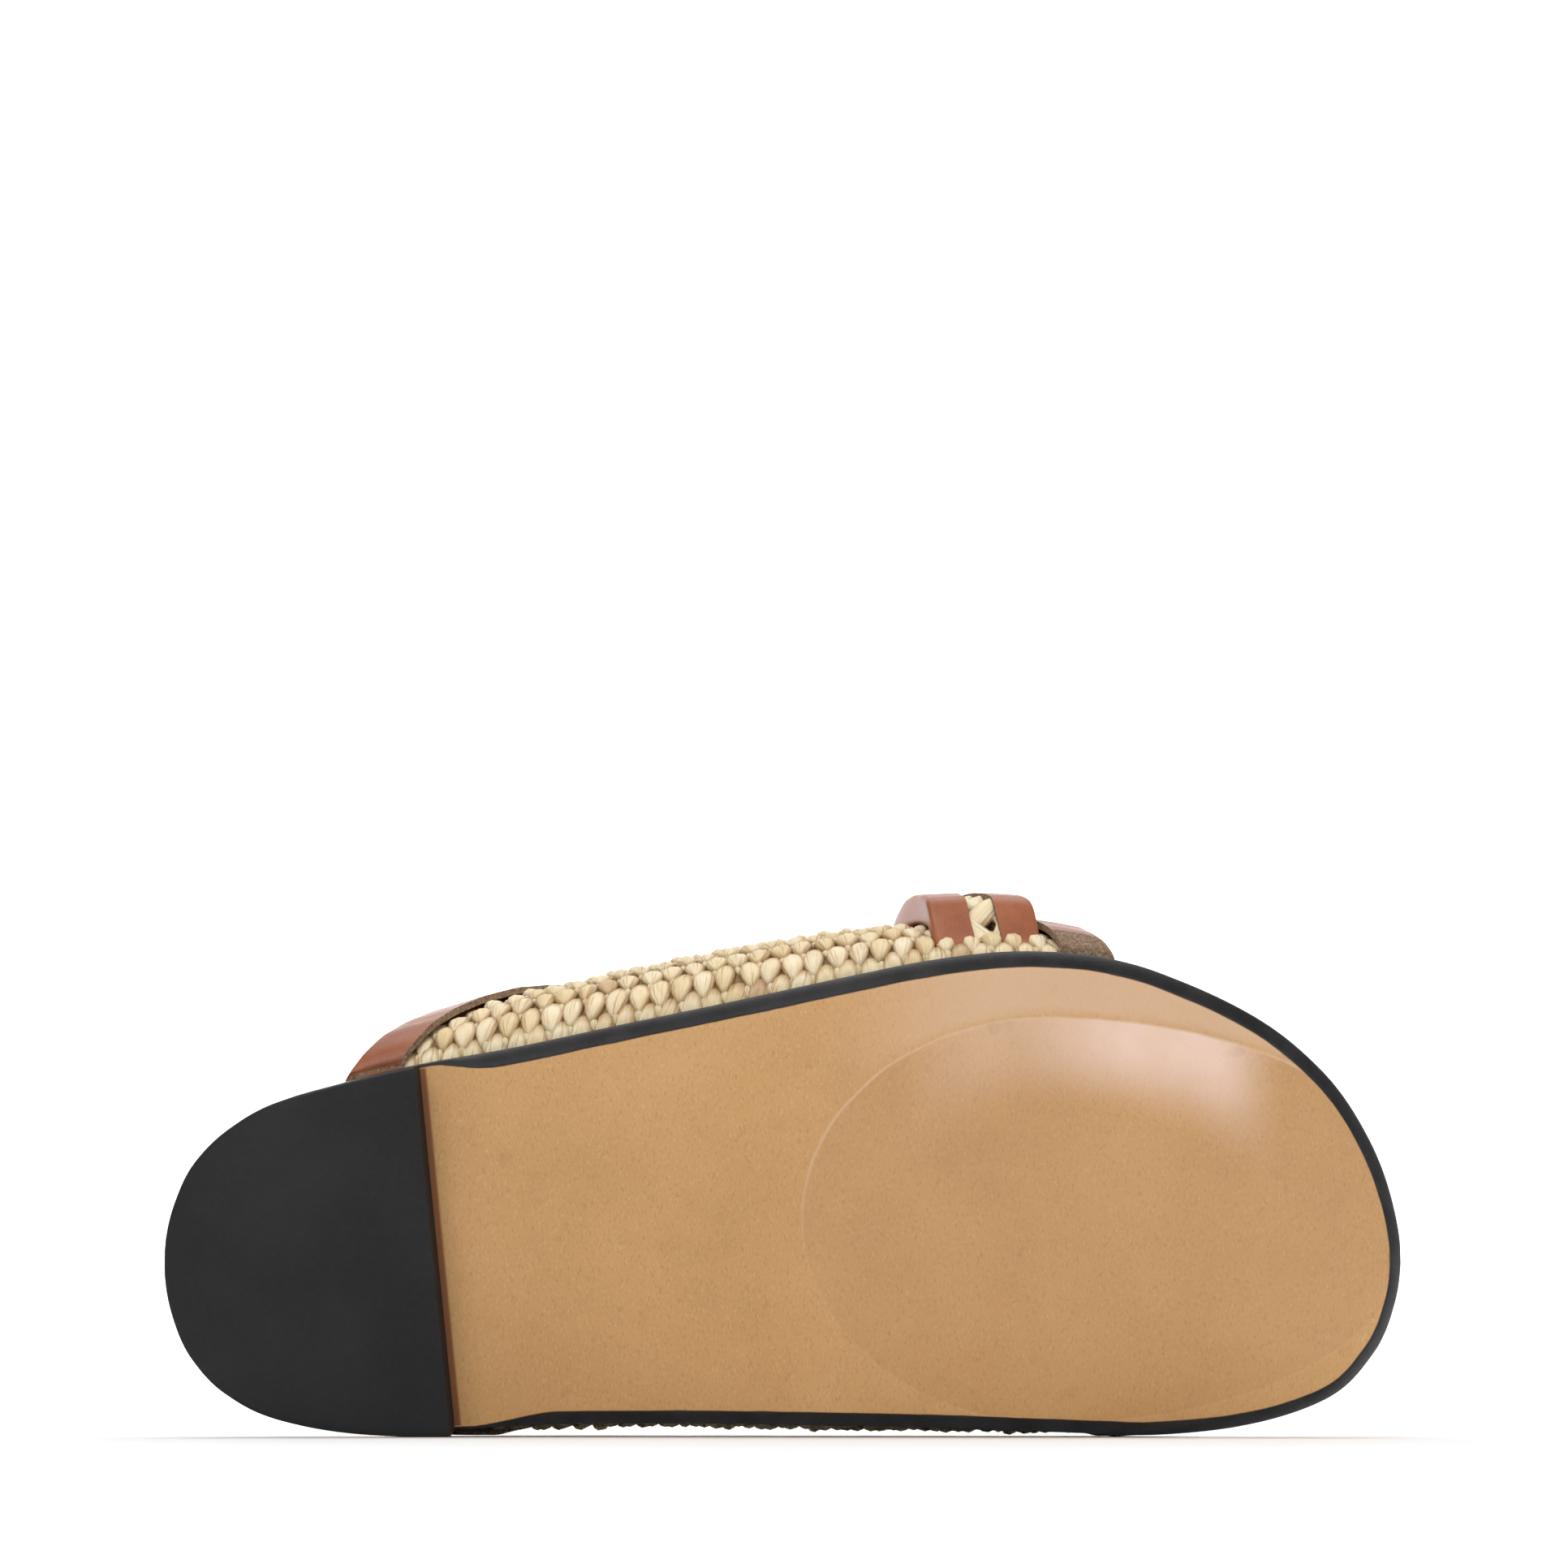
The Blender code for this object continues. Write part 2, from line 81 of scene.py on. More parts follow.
# Places along the sole, as shares of its length; pairs are lateral and medial
BREAST = (0.199, 0.231)
BEVEL_FULL = (0.262, 0.318)
HEEL_SEAT_END = 0.236
TREAD_START = 0.560
TREAD_END = 0.820

# How late the wall leans out below its widest row, lateral and medial. The
# lateral rows puff out over the sole's edge sooner than their solid does.
WALL_LEAN = (0.5, 1.4)

# Sole outline: share of the length, lateral and medial edge by the width
OUTLINE = (
    (0.007, 0.124, 0.108),
    (0.024, 0.214, 0.200),
    (0.050, 0.280, 0.268),
    (0.083, 0.330, 0.314),
    (0.130, 0.366, 0.343),
    (0.200, 0.409, 0.357),
    (0.260, 0.436, 0.354),
    (0.365, 0.494, 0.344),
    (0.456, 0.544, 0.338),
    (0.555, 0.600, 0.338),
    (0.620, 0.633, 0.342),
    (0.686, 0.651, 0.348),
    (0.750, 0.642, 0.354),
    (0.785, 0.622, 0.357),
    (0.817, 0.592, 0.353),
    (0.883, 0.509, 0.330),
    (0.935, 0.400, 0.287),
    (0.974, 0.256, 0.200),
    (0.994, 0.118, 0.096),
)
REAR_TIP = (0.0, 0.005)
TOE_TIP = (1.0, -0.008)

# Upper's form: share of the length, crown height, lateral bulge, medial
# bulge, level of the widest row on the lateral and on the medial side
FORM = (
    (0.10, 1.03, 0.62, 0.78, 0.36, 0.42),
    (0.20, 1.05, 0.80, 0.84, 0.36, 0.42),
    (0.28, 1.04, 0.97, 0.92, 0.36, 0.42),
    (0.42, 1.00, 0.98, 0.95, 0.37, 0.44),
    (0.55, 0.87, 0.84, 0.97, 0.39, 0.49),
    (0.62, 0.79, 0.66, 0.94, 0.41, 0.54),
    (0.69, 0.71, 0.50, 0.84, 0.43, 0.58),
    (0.76, 0.63, 0.34, 0.62, 0.45, 0.62),
    (0.82, 0.58, 0.24, 0.38, 0.46, 0.64),
    (0.92, 0.50, 0.16, 0.10, 0.46, 0.64),
)

# Upper's edges: share of the girth, rear edge and front edge by the length
EDGES = (
    (0.00, 0.142, 0.760),
    (0.12, 0.192, 0.738),
    (0.30, 0.320, 0.694),
    (0.50, 0.420, 0.660),
    (0.70, 0.335, 0.716),
    (0.88, 0.208, 0.800),
    (1.00, 0.165, 0.830),
)

# Strap's run: share of the girth, middle by the length, width by its end
STRAP_RUN = (
    (0.00, 0.675, 1.00),
    (0.12, 0.652, 0.88),
    (0.30, 0.610, 0.74),
    (0.50, 0.578, 0.68),
    (0.72, 0.585, 0.68),
)
# Shares of the girth between which the strap and the bindings run, and over
# which the strap rises out of the wall, and the level at which it starts
STRAP_ENDS = (0.006, 0.70)
STRAP_RUN_IN = (0.030, 0.080)
STRAP_SUNK = -0.0016
BINDING_ENDS = (0.004, 0.996)

# Plait: its pitch, half width and half thickness of a strand, and how far a
# strand weaves up and down
PLAIT_PITCH = 0.017
STRAND_WIDTH = 0.0031
STRAND_THICKNESS = 0.00135
STRAND_WEAVE = 0.0010

# A stitch along its length: place, width and height as shares of its own
FAN = (
    (0.00, 0.62, 0.26),
    (0.20, 0.92, 0.60),
    (0.42, 1.00, 0.84),
    (0.60, 0.94, 1.00),
    (0.76, 0.74, 1.00),
    (0.90, 0.44, 0.90),
    (1.00, 0.18, 0.56),
)
# Half width, length and height of a stitch, and its set back from the sole
BROAD_FAN = (0.00262, 0.0116, 0.0032, -0.0004)
SMALL_FAN = (0.00100, 0.0046, 0.0022, 0.0012)
# A stitch's widest place, most lean and depth in the backing, and the rows'
# distance from the upper's edges
FAN_MIDDLE = 0.42
FAN_LEAN = 0.0007
FAN_DEPTH = 0.0012
ROW_MARGIN = 0.0030

# Clear film on the forefoot: centre, reach to the heel, reach to the toe and
# half width of its oval, in metres on the sole
FILM_CENTRE = (0.1745, -0.0088)
FILM_REACH = (0.049, 0.074)
FILM_HALF_WIDTH = 0.0394

# Bands of painted highlight and painted lamp reflection on the outsole: along x and
# towards the lateral side in metres, inward from the film's edge as a share of its size
BARE_HIGHLIGHT_X, BARE_HIGHLIGHT_SIDE = (0.125, 0.165), (0.022, 0.045)
GLARE_SIDE, GLARE_INWARD = (0.0, 0.02), (0.10, 0.46)
GLARE_START, GLARE_FULL, GLARE_END = (0.142, 0.162), (0.166, 0.191), (0.206, 0.221)
FILM_EDGE_HIGHLIGHT_SIDE = (-0.005, 0.030)

# Camera: its place along the shoe, height of the eye over the floor, distance
# from the tread, height of the point looked at, lens and sensor in millimetres
CAMERA_X = -0.0006
EYE_HEIGHT = 0.003
EYE_DISTANCE = 0.45
AIM_HEIGHT = 0.1306
LENS = 51.6
SENSOR = 36.0

# Heel mount: its place on the upright shoe, and its row for the lying one
HEEL_MARK = (0.024, 0.0, 0.0)
HEEL_MOUNT = next(m for m in frame["record"]["mounts"] if m["name"] == "heel_tread")

# The sides' numbers, and the sign of y towards each
LATERAL, MEDIAL = SIDE_NUMBERS = (0, 1)
SIGN = (-1.0, 1.0)

CURVE_STEPS = 12


def smooth_path(points, closed=False):
    """Points on a cubic curve through the given points, tangents by chord."""
    path = np.asarray(points, dtype=float)
    if closed:
        path = np.vstack((path[-1:], path, path[:2]))
    else:
        path = np.vstack((2 * path[0] - path[1], path, 2 * path[-1] - path[-2]))
    chord = np.linalg.norm(np.diff(path, axis=0), axis=1)[:, None]
    slope = np.diff(path, axis=0) / chord
    weight = chord[1:] + chord[:-1]
    tangent = (slope[:-1] * chord[1:] + slope[1:] * chord[:-1]) / weight
    start, end, reach = path[1:-2], path[2:-1], chord[1:-1]
    curve = []
    for step in range(CURVE_STEPS):
        t = step / CURVE_STEPS
        curve.append((2 * t**3 - 3 * t**2 + 1) * start
                     + (t**3 - 2 * t**2 + t) * reach * tangent[:-1]
                     + (3 * t**2 - 2 * t**3) * end
                     + (t**3 - t**2) * reach * tangent[1:])
    curve = np.stack(curve, axis=1).reshape(-1, path.shape[1])
    return curve if closed else np.vstack((curve, path[-2]))


def unit(vectors):
    """Vectors brought to length 1."""
    return vectors / np.linalg.norm(vectors, axis=-1)[..., None]


def table_reader(table, column):
    """A smooth function of a table's first column."""
    curve = smooth_path([(row[0], row[column]) for row in table])
    return lambda share: np.interp(share, curve[:, 0], curve[:, 1])


def ease(value, start, end):
    """Rises from 0 at start to 1 at end with soft ends."""
    t = np.clip((value - start) / (end - start), 0.0, 1.0)
    return t * t * (3.0 - 2.0 * t)


crown_share = table_reader(FORM, 1)
bulge_shares = (table_reader(FORM, 2), table_reader(FORM, 3))
widest_levels = (table_reader(FORM, 4), table_reader(FORM, 5))
rear_edge = table_reader(EDGES, 1)
front_edge = table_reader(EDGES, 2)
strap_middle = table_reader(STRAP_RUN, 1)
strap_share = table_reader(STRAP_RUN, 2)


def outline_sides():
    """Lateral and medial edge of the sole: x, y and outward normal, by x."""
    lateral = [(row[0], -row[1]) for row in OUTLINE]
    medial = [(row[0], row[2]) for row in reversed(OUTLINE)]
    shares = [REAR_TIP] + lateral + [(TOE_TIP[0], -TOE_TIP[1])] + medial
    loop = smooth_path(shares, closed=True) * (LENGTH, BALL_WIDTH)
    along = unit(np.roll(loop, -1, axis=0) - np.roll(loop, 1, axis=0))
    rows = np.column_stack((loop, along[:, 1], -along[:, 0]))
    toe = (len(lateral) + 1) * CURVE_STEPS
    sides = (rows[:toe + 1], np.vstack((rows[toe:], rows[:1]))[::-1])
    for side in sides:
        side[:, 0] = np.maximum.accumulate(np.clip(side[:, 0], 0.0, LENGTH))
    return sides


SIDES = outline_sides()


def edge_y(side, x):
    """Distance of the sole's edge from the line through its tips."""
    return np.interp(x, SIDES[side][:, 0], SIDES[side][:, 1])


def edge_point(side, x, inset):
    """Point on the sole's edge, moved inward square to the edge."""
    rows = SIDES[side]
    normal_x = np.interp(x, rows[:, 0], rows[:, 2])
    normal_y = np.interp(x, rows[:, 0], rows[:, 3])
    inward = -inset / np.hypot(normal_x, normal_y)
    return x + inward * normal_x, edge_y(side, x) + inward * normal_y


def sole_bottom(x):
    """Underside of the outsole: flat heel seat, waist, flat tread, toe spring."""
    share = x / LENGTH
    waist = 1.0 - ease(share, HEEL_SEAT_END, TREAD_START)
    spring = np.clip((share - TREAD_END) / (1.0 - TREAD_END), 0.0, 1.0) ** 2
    return (HEEL_HEIGHT + GAP) * waist + TOE_SPRING * spring


def sole_top(x):
    """Upper face of the outsole."""
    return sole_bottom(x) + SOLE_THICKNESS


def bevel_share(side, x):
    """How far the painted bevel has grown, from the heel breast forward."""
    return np.maximum(ease(x / LENGTH, BREAST[side], BEVEL_FULL[side]), 0.1)


def insole_inset(side, x):
    """Inset of the insole, deeper inside the wall and inside its bindings."""
    share = x / LENGTH
    rear, front = EDGES[0][1:] if side == LATERAL else EDGES[-1][1:]
    band = BINDING_WIDTH / LENGTH
    run = 0.8 * band
    in_wall = ease(share, rear - 1.1 * band, rear - 0.45 * band)
    in_wall *= 1.0 - ease(share, front + 0.45 * band, front + 1.1 * band)
    mid_wall = ease(share, rear + 1.2 * band, rear + 1.2 * band + run)
    mid_wall *= 1.0 - ease(share, front - 1.2 * band - run, front - 1.2 * band)
    wall_inset = WALL_INSET + WALL + GAP + (LEATHER + 2 * GAP) * (1.0 - mid_wall)
    return INSOLE_MARGIN + (wall_inset - INSOLE_MARGIN) * in_wall


# Fields of the upper's surface
ARCH_X = np.linspace(0.08, 0.93, 300) * LENGTH
ARCH_SHARE = np.linspace(0.0, 1.0, 401)


def arch_fields():
    """The upper's surface by x and share of the girth: y, z, normal, girth.

    Below its widest row a side leans out by a sine to the power WALL_LEAN;
    above it the side is a quarter of an oval up to the crown, squarer by its
    powers below 1. Each arch is then cut into equal shares of its length.
    """
    x = ARCH_X[:, None]
    share = x / LENGTH
    foot = sole_top(x) + GAP
    crown = INSTEP_HEIGHT * crown_share(share)
    t = np.linspace(0.0, 1.0, 28)[None, :]
    angle = np.linspace(0.0, 0.5 * pi, 60)[None, 1:]
    wide = [edge_y(side, x) + SIGN[side] * (BULGE[side] * bulge_shares[side](share) - ROW_RISE)
            for side in SIDE_NUMBERS]
    crown_y = 0.5 * (wide[LATERAL] + wide[MEDIAL]) + CROWN_SHIFT
    halves = []
    for side in SIDE_NUMBERS:
        foot_y = edge_y(side, x) - SIGN[side] * WALL_INSET
        wide_z = foot + widest_levels[side](share) * (crown - foot)
        lean = np.sin(0.5 * pi * t) ** WALL_LEAN[side]
        rise = 0.7 * t + 0.3 * (1.0 - np.cos(0.5 * pi * t))
        y = np.hstack((foot_y + (wide[side] - foot_y) * lean,
                       crown_y + (wide[side] - crown_y) * np.cos(angle) ** 0.86))
        z = np.hstack((foot + (wide_z - foot) * rise,
                       wide_z + (crown - wide_z) * np.sin(angle) ** 0.92))
        halves.append((y, z))
    y = np.hstack((halves[LATERAL][0], halves[MEDIAL][0][:, -2::-1]))
    z = np.hstack((halves[LATERAL][1], halves[MEDIAL][1][:, -2::-1]))
    steps = np.hypot(np.diff(y, axis=1), np.diff(z, axis=1))
    run = np.hstack((np.zeros((len(y), 1)), np.cumsum(steps, axis=1)))
    girth = run[:, -1].copy()
    run /= girth[:, None]
    y = np.array([np.interp(ARCH_SHARE, r, row) for r, row in zip(run, y)])
    z = np.array([np.interp(ARCH_SHARE, r, row) for r, row in zip(run, z)])
    along = np.stack((np.ones_like(y), np.gradient(y, ARCH_X, axis=0),
                      np.gradient(z, ARCH_X, axis=0)), axis=-1)
    around = np.stack((np.zeros_like(y), np.gradient(y, axis=1),
                       np.gradient(z, axis=1)), axis=-1)
    normal = unit(np.cross(along, around))
    normal[..., 2] *= ease(np.minimum(ARCH_SHARE, 1.0 - ARCH_SHARE), 0.0, 0.05)
    return np.concatenate((y[..., None], z[..., None], unit(normal)), axis=-1), girth


ARCH, GIRTH = arch_fields()


def girth_at(x):
    """Length of the arch across the upper."""
    return np.interp(x, ARCH_X, GIRTH)


def on_wall(x, share, rise):
    """Points at a distance outside the wall's outer face, between grid nodes
    by the weights of the four nearest ones."""
    x, share, rise = np.broadcast_arrays(x, share, rise)
    column = np.clip((x - ARCH_X[0]) / (ARCH_X[1] - ARCH_X[0]), 0, len(ARCH_X) - 1.001)
    row = np.clip(share, 0.0, 1.0) * (len(ARCH_SHARE) - 1.001)
    i, j = column.astype(int), row.astype(int)
    u, v = (column - i)[..., None], (row - j)[..., None]
    near = ARCH[i, j] * (1 - v) + ARCH[i, j + 1] * v
    far = ARCH[i + 1, j] * (1 - v) + ARCH[i + 1, j + 1] * v
    value = near * (1 - u) + far * u
    place = np.concatenate((x[..., None], value[..., :2]), axis=-1)
    return place + rise[..., None] * value[..., 2:]


def lie_down(points):
    """Turn points of the upright shoe into the frame in which it lies."""
    up = -np.array(HEEL_MOUNT["axis"])
    forward = np.array((1.0, 0.0, 0.0))
    moved = np.asarray(points).reshape(-1, 3) - HEEL_MARK
    return HEEL_MOUNT["pos_m"] + moved @ np.stack((forward, np.cross(up, forward), up))


def loop_quads(count, size):
    """Faces between rings that each close on themselves."""
    i, j = np.meshgrid(np.arange(count - 1), np.arange(size), indexing="ij")
    after = (j + 1) % size
    quads = (i * size + j, i * size + after, (i + 1) * size + after, (i + 1) * size + j)
    return np.stack(quads, axis=-1).reshape(-1, 4)


def tube_faces(count, size, bodies=1):
    """Side and end faces of tubes of rings, for one body after another."""
    ends = np.array((np.arange(size)[::-1], np.arange(size) + (count - 1) * size))
    starts = np.arange(bodies)[:, None, None] * count * size
    return [(starts + faces[None]).reshape(-1, faces.shape[1])
            for faces in (loop_quads(count, size), ends)]


def folded_caps(count, half):
    """End faces of rings whose second half runs back along the first."""
    k = np.arange(half - 1)
    cap = np.stack((k, k + 1, 2 * half - 2 - k, 2 * half - 1 - k), axis=-1)
    return np.vstack((cap[:, ::-1], cap + (count - 1) * 2 * half))


def signed_volume(points, groups):
    """Six times the volume inside faces, each cut into a fan."""
    return sum(np.sum(points[faces[:, 0]] * np.cross(points[faces[:, k]], points[faces[:, k + 1]]))
               for faces in groups for k in range(1, faces.shape[1] - 1))


def make_piece(name, points, groups, materials, node, values=None, uv=None,
               indices=None, sharp=None):
    """A mesh of closed bodies from arrays, facing outward, riding on the shoe.

    Groups are arrays of faces with one corner count each; values are named
    numbers at the points; indices give each group's material.
    """
    points = lie_down(points)
    if signed_volume(points, groups) < 0.0:
        groups = [faces[:, ::-1] for faces in groups]
    totals = np.concatenate([np.full(len(faces), faces.shape[1]) for faces in groups])
    corners = np.concatenate([faces.ravel() for faces in groups]).astype(np.int32)
    mesh = bpy.data.meshes.new(name)
    mesh.vertices.add(len(points))
    mesh.vertices.foreach_set("co", points.ravel())
    mesh.loops.add(len(corners))
    mesh.loops.foreach_set("vertex_index", corners)
    mesh.polygons.add(len(totals))
    mesh.polygons.foreach_set("loop_start", np.concatenate(([0], np.cumsum(totals)[:-1])))
    if indices is not None:
        chosen = [np.full(len(faces), k) for faces, k in zip(groups, indices)]
        mesh.polygons.foreach_set("material_index", np.concatenate(chosen))
    for key, value in (values or {}).items():
        layer = mesh.attributes.new(key, "FLOAT", "POINT")
        layer.data.foreach_set("value", np.asarray(value, dtype=np.float32).ravel())
    if uv is not None:
        layer = mesh.uv_layers.new(name="UVMap")
        layer.data.foreach_set("uv", np.asarray(uv).reshape(-1, 2)[corners].ravel())
    mesh.update(calc_edges=True)
    mesh.validate()
    mesh.shade_smooth()
    if sharp is not None:
        mesh.set_sharp_from_angle(angle=radians(sharp))
    for material in materials:
        mesh.materials.append(material)
    piece = bpy.data.objects.new(name, mesh)
    bpy.context.scene.collection.objects.link(piece)
    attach(piece, "root")
    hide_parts(node)


# Plates: outsole, heel and insole


def plate_rings(stations, profile, height, open_front=False):
    """Rings round a plate from its under face to its upper face.

    Profile rows hold the inset and the height above the under face, each a
    function of the side and x or a plain number.
    """
    rings = []
    for inset, level in profile:
        sides = []
        for side in SIDE_NUMBERS:
            x = stations[side]
            reach, above = (part(side, x) if callable(part) else part for part in (inset, level))
            px, py = edge_point(side, x, reach)
            sides.append(np.column_stack((px, py, height(px) + above)))
        lateral, medial = sides
        inner = medial[:0:-1] if open_front else medial[-2:0:-1]
        rings.append(np.vstack((lateral, inner)))
    return np.array(rings)


def plate_cap(ring, across, height, open_front=False):
    """A face across a ring: extra points between its lateral and medial side.

    Returns the new points and the faces, whose numbers below the ring's size
    are the ring's own points.
    """
    size = len(ring)
    half = (size + 1) // 2
    rows = half if open_front else half - 1
    left = np.arange(1, rows)
    right = size - left
    t = np.linspace(0.0, 1.0, across + 1)[None, 1:-1, None]
    inner = ring[left][:, None] * (1 - t) + ring[right][:, None] * t
    inner[..., 2] = height(inner[..., 0])
    numbers = size + np.arange(inner.shape[0] * inner.shape[1]).reshape(inner.shape[:2])
    grid = np.hstack((left[:, None], numbers, right[:, None]))
    quads = np.stack((grid[:-1, :-1], grid[1:, :-1], grid[1:, 1:], grid[:-1, 1:]), axis=-1)
    ends = [np.concatenate(([0], grid[0]))]
    if not open_front:
        ends.append(np.concatenate((grid[-1][::-1], [half - 1])))
    return inner.reshape(-1, 3), quads.reshape(-1, 4), ends


def plate_piece(name, rings, heights, materials, node, shade=lambda points, ring: {},
                open_front=False):
    """A plate from its rings, closed below and above with gridded faces.

    Shade gives the named numbers at the points from their upright places and
    from the ring that each belongs to.
    """
    count, size = rings.shape[:2]
    points = [rings.reshape(-1, 3)]
    groups = [loop_quads(count, size)]
    ring_of = [np.repeat(np.arange(count), size)]
    total = count * size
    for ring, height in ((0, heights[0]), (count - 1, heights[1])):
        inner, quads, ends = plate_cap(rings[ring], 48, height, open_front)
        for group in [quads] + [end[None, :] for end in ends]:
            own = group < size
            group = np.where(own, group + ring * size, group - size + total)
            groups.append(group[:, ::-1] if ring == 0 else group)
        points.append(inner)
        ring_of.append(np.full(len(inner), ring))
        total += len(inner)
    points = np.vstack(points)
    make_piece(name, points, groups, materials, node,
               shade(points, np.concatenate(ring_of)), points[:, :2] * 10.0, sharp=32.0)


def full_stations(count):
    """Stations from tip to tip, closer together at the round ends."""
    x = 0.5 * LENGTH * (1.0 - np.cos(np.linspace(0.0, pi, count)))
    return x, x


def film_distance(x, y):
    """How far a place lies inside the film's oval, as a share of its size."""
    reach = np.where(x < FILM_CENTRE[0], FILM_REACH[0], FILM_REACH[1])
    out = ((x - FILM_CENTRE[0]) / reach) ** 2 + ((y - FILM_CENTRE[1]) / FILM_HALF_WIDTH) ** 2
    return 1.0 - np.sqrt(out)


def outsole_piece(materials):
    """Leather outsole: bevel with soft corners, square painted edge."""
    def bevel(part_of):
        return lambda side, x: BEVEL_WIDTH * bevel_share(side, x) * part_of

    def rise(part_of, extra=0.0):
        return lambda side, x: BEVEL_DEPTH * bevel_share(side, x) * part_of + extra

    profile = (
        (lambda side, x: BEVEL_WIDTH * bevel_share(side, x) + 0.0005, 0.0),
        (bevel(1.0), rise(0.02)), (bevel(0.86), rise(0.10)), (bevel(0.5), rise(0.46)),
        (bevel(0.12), rise(0.88)), (0.0, rise(1.0, 0.0004)),
        (0.0, SOLE_THICKNESS - 0.0010), (0.0002, SOLE_THICKNESS - 0.0003),
        (0.0008, SOLE_THICKNESS),
    )
    rings = plate_rings(full_stations(170), profile, sole_bottom)

    def shade(points, ring):
        x, y = points[:, 0], points[:, 1]
        film = film_distance(x, y)
        under = ring == 0
        # Painted highlight: the bare leather of the lateral forefoot is lightened as by a lamp's
        # glare.
        pale = ease(-film, -0.02, 0.05) * ease(x, *BARE_HIGHLIGHT_X) * ease(-y, *BARE_HIGHLIGHT_SIDE)
        # Painted reflection: a lamp's glare on the film along its lateral edge, put into the
        # colour.
        film_glare = (1.0 - ease(film, *GLARE_INWARD)) * ease(-y, *GLARE_SIDE)
        film_glare = film_glare * (0.34 + 0.66 * ease(x, *GLARE_FULL)) * ease(x, *GLARE_START)
        film_glare = film_glare * (1.0 - ease(x, *GLARE_END))
        # Distance in front of the heel breast, for a painted shadow line in the corner before the
        # heel.
        ends = [edge_y(side, LENGTH * BREAST[side]) for side in SIDE_NUMBERS]
        breast = x - LENGTH * np.interp(y, ends, BREAST)
        return {"paint": np.where(under | (ring == len(profile) - 1), 0.0, 1.0),
                "film": np.where(under, film, -1.0), "pale": np.where(under, pale, 0.0),
                "film_glare": np.where(under, film_glare, 0.0),
                # Painted highlight along the film's edge, strongest on the lateral side, which
                # faces the light.
                "film_edge_highlight": 0.12 + 0.88 * ease(-y, *FILM_EDGE_HIGHLIGHT_SIDE),
                "breast": np.where(under, breast, 1.0)}

    plate_piece("outsole_leather", rings, (sole_bottom, sole_top), materials,
                "outsole", shade)


def heel_piece(materials):
    """Rubber heel: soft tread corner, flat faces, slanted breast."""
    spread = 1.0 - np.cos(np.linspace(0.0, 0.5 * pi, 70))
    stations = [LENGTH * breast * spread for breast in BREAST]
    profile = ((0.0011, 0.0), (0.0007, 0.0001), (0.0003, 0.0003), (0.0001, 0.0007),
               (0.0, 0.0012), (0.0, HEEL_HEIGHT - 0.0003), (0.0002, HEEL_HEIGHT))
    heights = (lambda x: 0.0 * x, lambda x: 0.0 * x + HEEL_HEIGHT)
    rings = plate_rings(stations, profile, heights[0], open_front=True)
    plate_piece("heel_rubber", rings, heights, materials, "heel", open_front=True)


def insole_piece(materials):
    """Leather footbed with a rolled upper edge."""
    def inset(extra):
        return lambda side, x: insole_inset(side, x) + extra

    top = INSOLE_THICKNESS
    profile = ((inset(0.0), 0.0), (inset(0.0), top - 0.0011), (inset(0.0001), top - 0.0005),
               (inset(0.0005), top - 0.0001), (inset(0.0011), top))
    heights = (lambda x: sole_top(x) + GAP, lambda x: sole_top(x) + GAP + top)
    rings = plate_rings(full_stations(220), profile, heights[0])
    plate_piece("insole_leather", rings, heights, materials, "insole")


# Upper: lining, backing and stitches


def wall_shell(name, outer_rise, inner_rise, material):
    """A layer of the wall between two distances from its outer face."""
    across, along = 150, 200
    step = np.linspace(0.0, 1.0, across)[:, None]
    share = np.linspace(0.0, 1.0, along)
    x = LENGTH * ((1 - step) * rear_edge(share) + step * front_edge(share))
    outer = on_wall(x, share, outer_rise)
    inner = on_wall(x, share, inner_rise)
    rings = np.concatenate((outer, inner[:, ::-1]), axis=1)
    groups = [loop_quads(across, 2 * along), folded_caps(across, along)]
    uv = np.stack(np.broadcast_arrays(x * 10, share * 2), axis=-1)
    uv = np.concatenate((uv, uv[:, ::-1]), axis=1)
    make_piece(name, rings, groups, [material], "upper", uv=uv, sharp=50.0)


def row_count():
    """An even number of rows of stitches, by the upper's longest arch."""
    stations = np.linspace(EDGES[0][1], EDGES[-1][2], 12) * LENGTH
    return 2 * round(0.5 * max(girth_at(stations)) / ROW_PITCH)


def stitch_places(shift):
    """Where the stitches sit: x, share of the girth and way to the sole.

    Rows count from the sole on each side, and every second row is moved on
    by half a stitch. One more row closes the line where the sides meet.
    """
    rows = row_count()
    places = []
    for row in (*range(rows), 0.5 * (rows - 1)):
        share = (row + 0.5) / rows
        way = 1.0 if share <= 0.5 else -1.0
        from_sole = np.ceil(min(row, rows - 1 - row))
        offset = (0.5 * (from_sole % 2) + shift) * STITCH_PITCH
        start = LENGTH * rear_edge(share) + ROW_MARGIN
        end = LENGTH * front_edge(share) - ROW_MARGIN
        first = int(np.ceil((start - offset) / STITCH_PITCH))
        last = int(np.floor((end - offset) / STITCH_PITCH))
        x = offset + STITCH_PITCH * np.arange(first, last + 1)
        places.append(np.column_stack((x, np.full(len(x), share), np.full(len(x), way))))
    return np.vstack(places)


def under_binding(x, share):
    """1 in the open, 0 for stitches gripped by a binding, less under the strap."""
    rear = x - LENGTH * rear_edge(share)
    front = LENGTH * front_edge(share) - x
    near = np.minimum(rear, front)
    beside = np.abs(x - LENGTH * strap_middle(share)) - 0.5 * STRAP_WIDTH * strap_share(share)
    strap = (1.0 - ease(beside, -0.001, 0.002)) * ease(share, *STRAP_RUN_IN)
    strap = strap * (1.0 - ease(share, STRAP_ENDS[1] - 0.01, STRAP_ENDS[1] + 0.01))
    return ease(near, 0.75 * BINDING_WIDTH, 1.45 * BINDING_WIDTH) * (1.0 - 0.45 * strap)


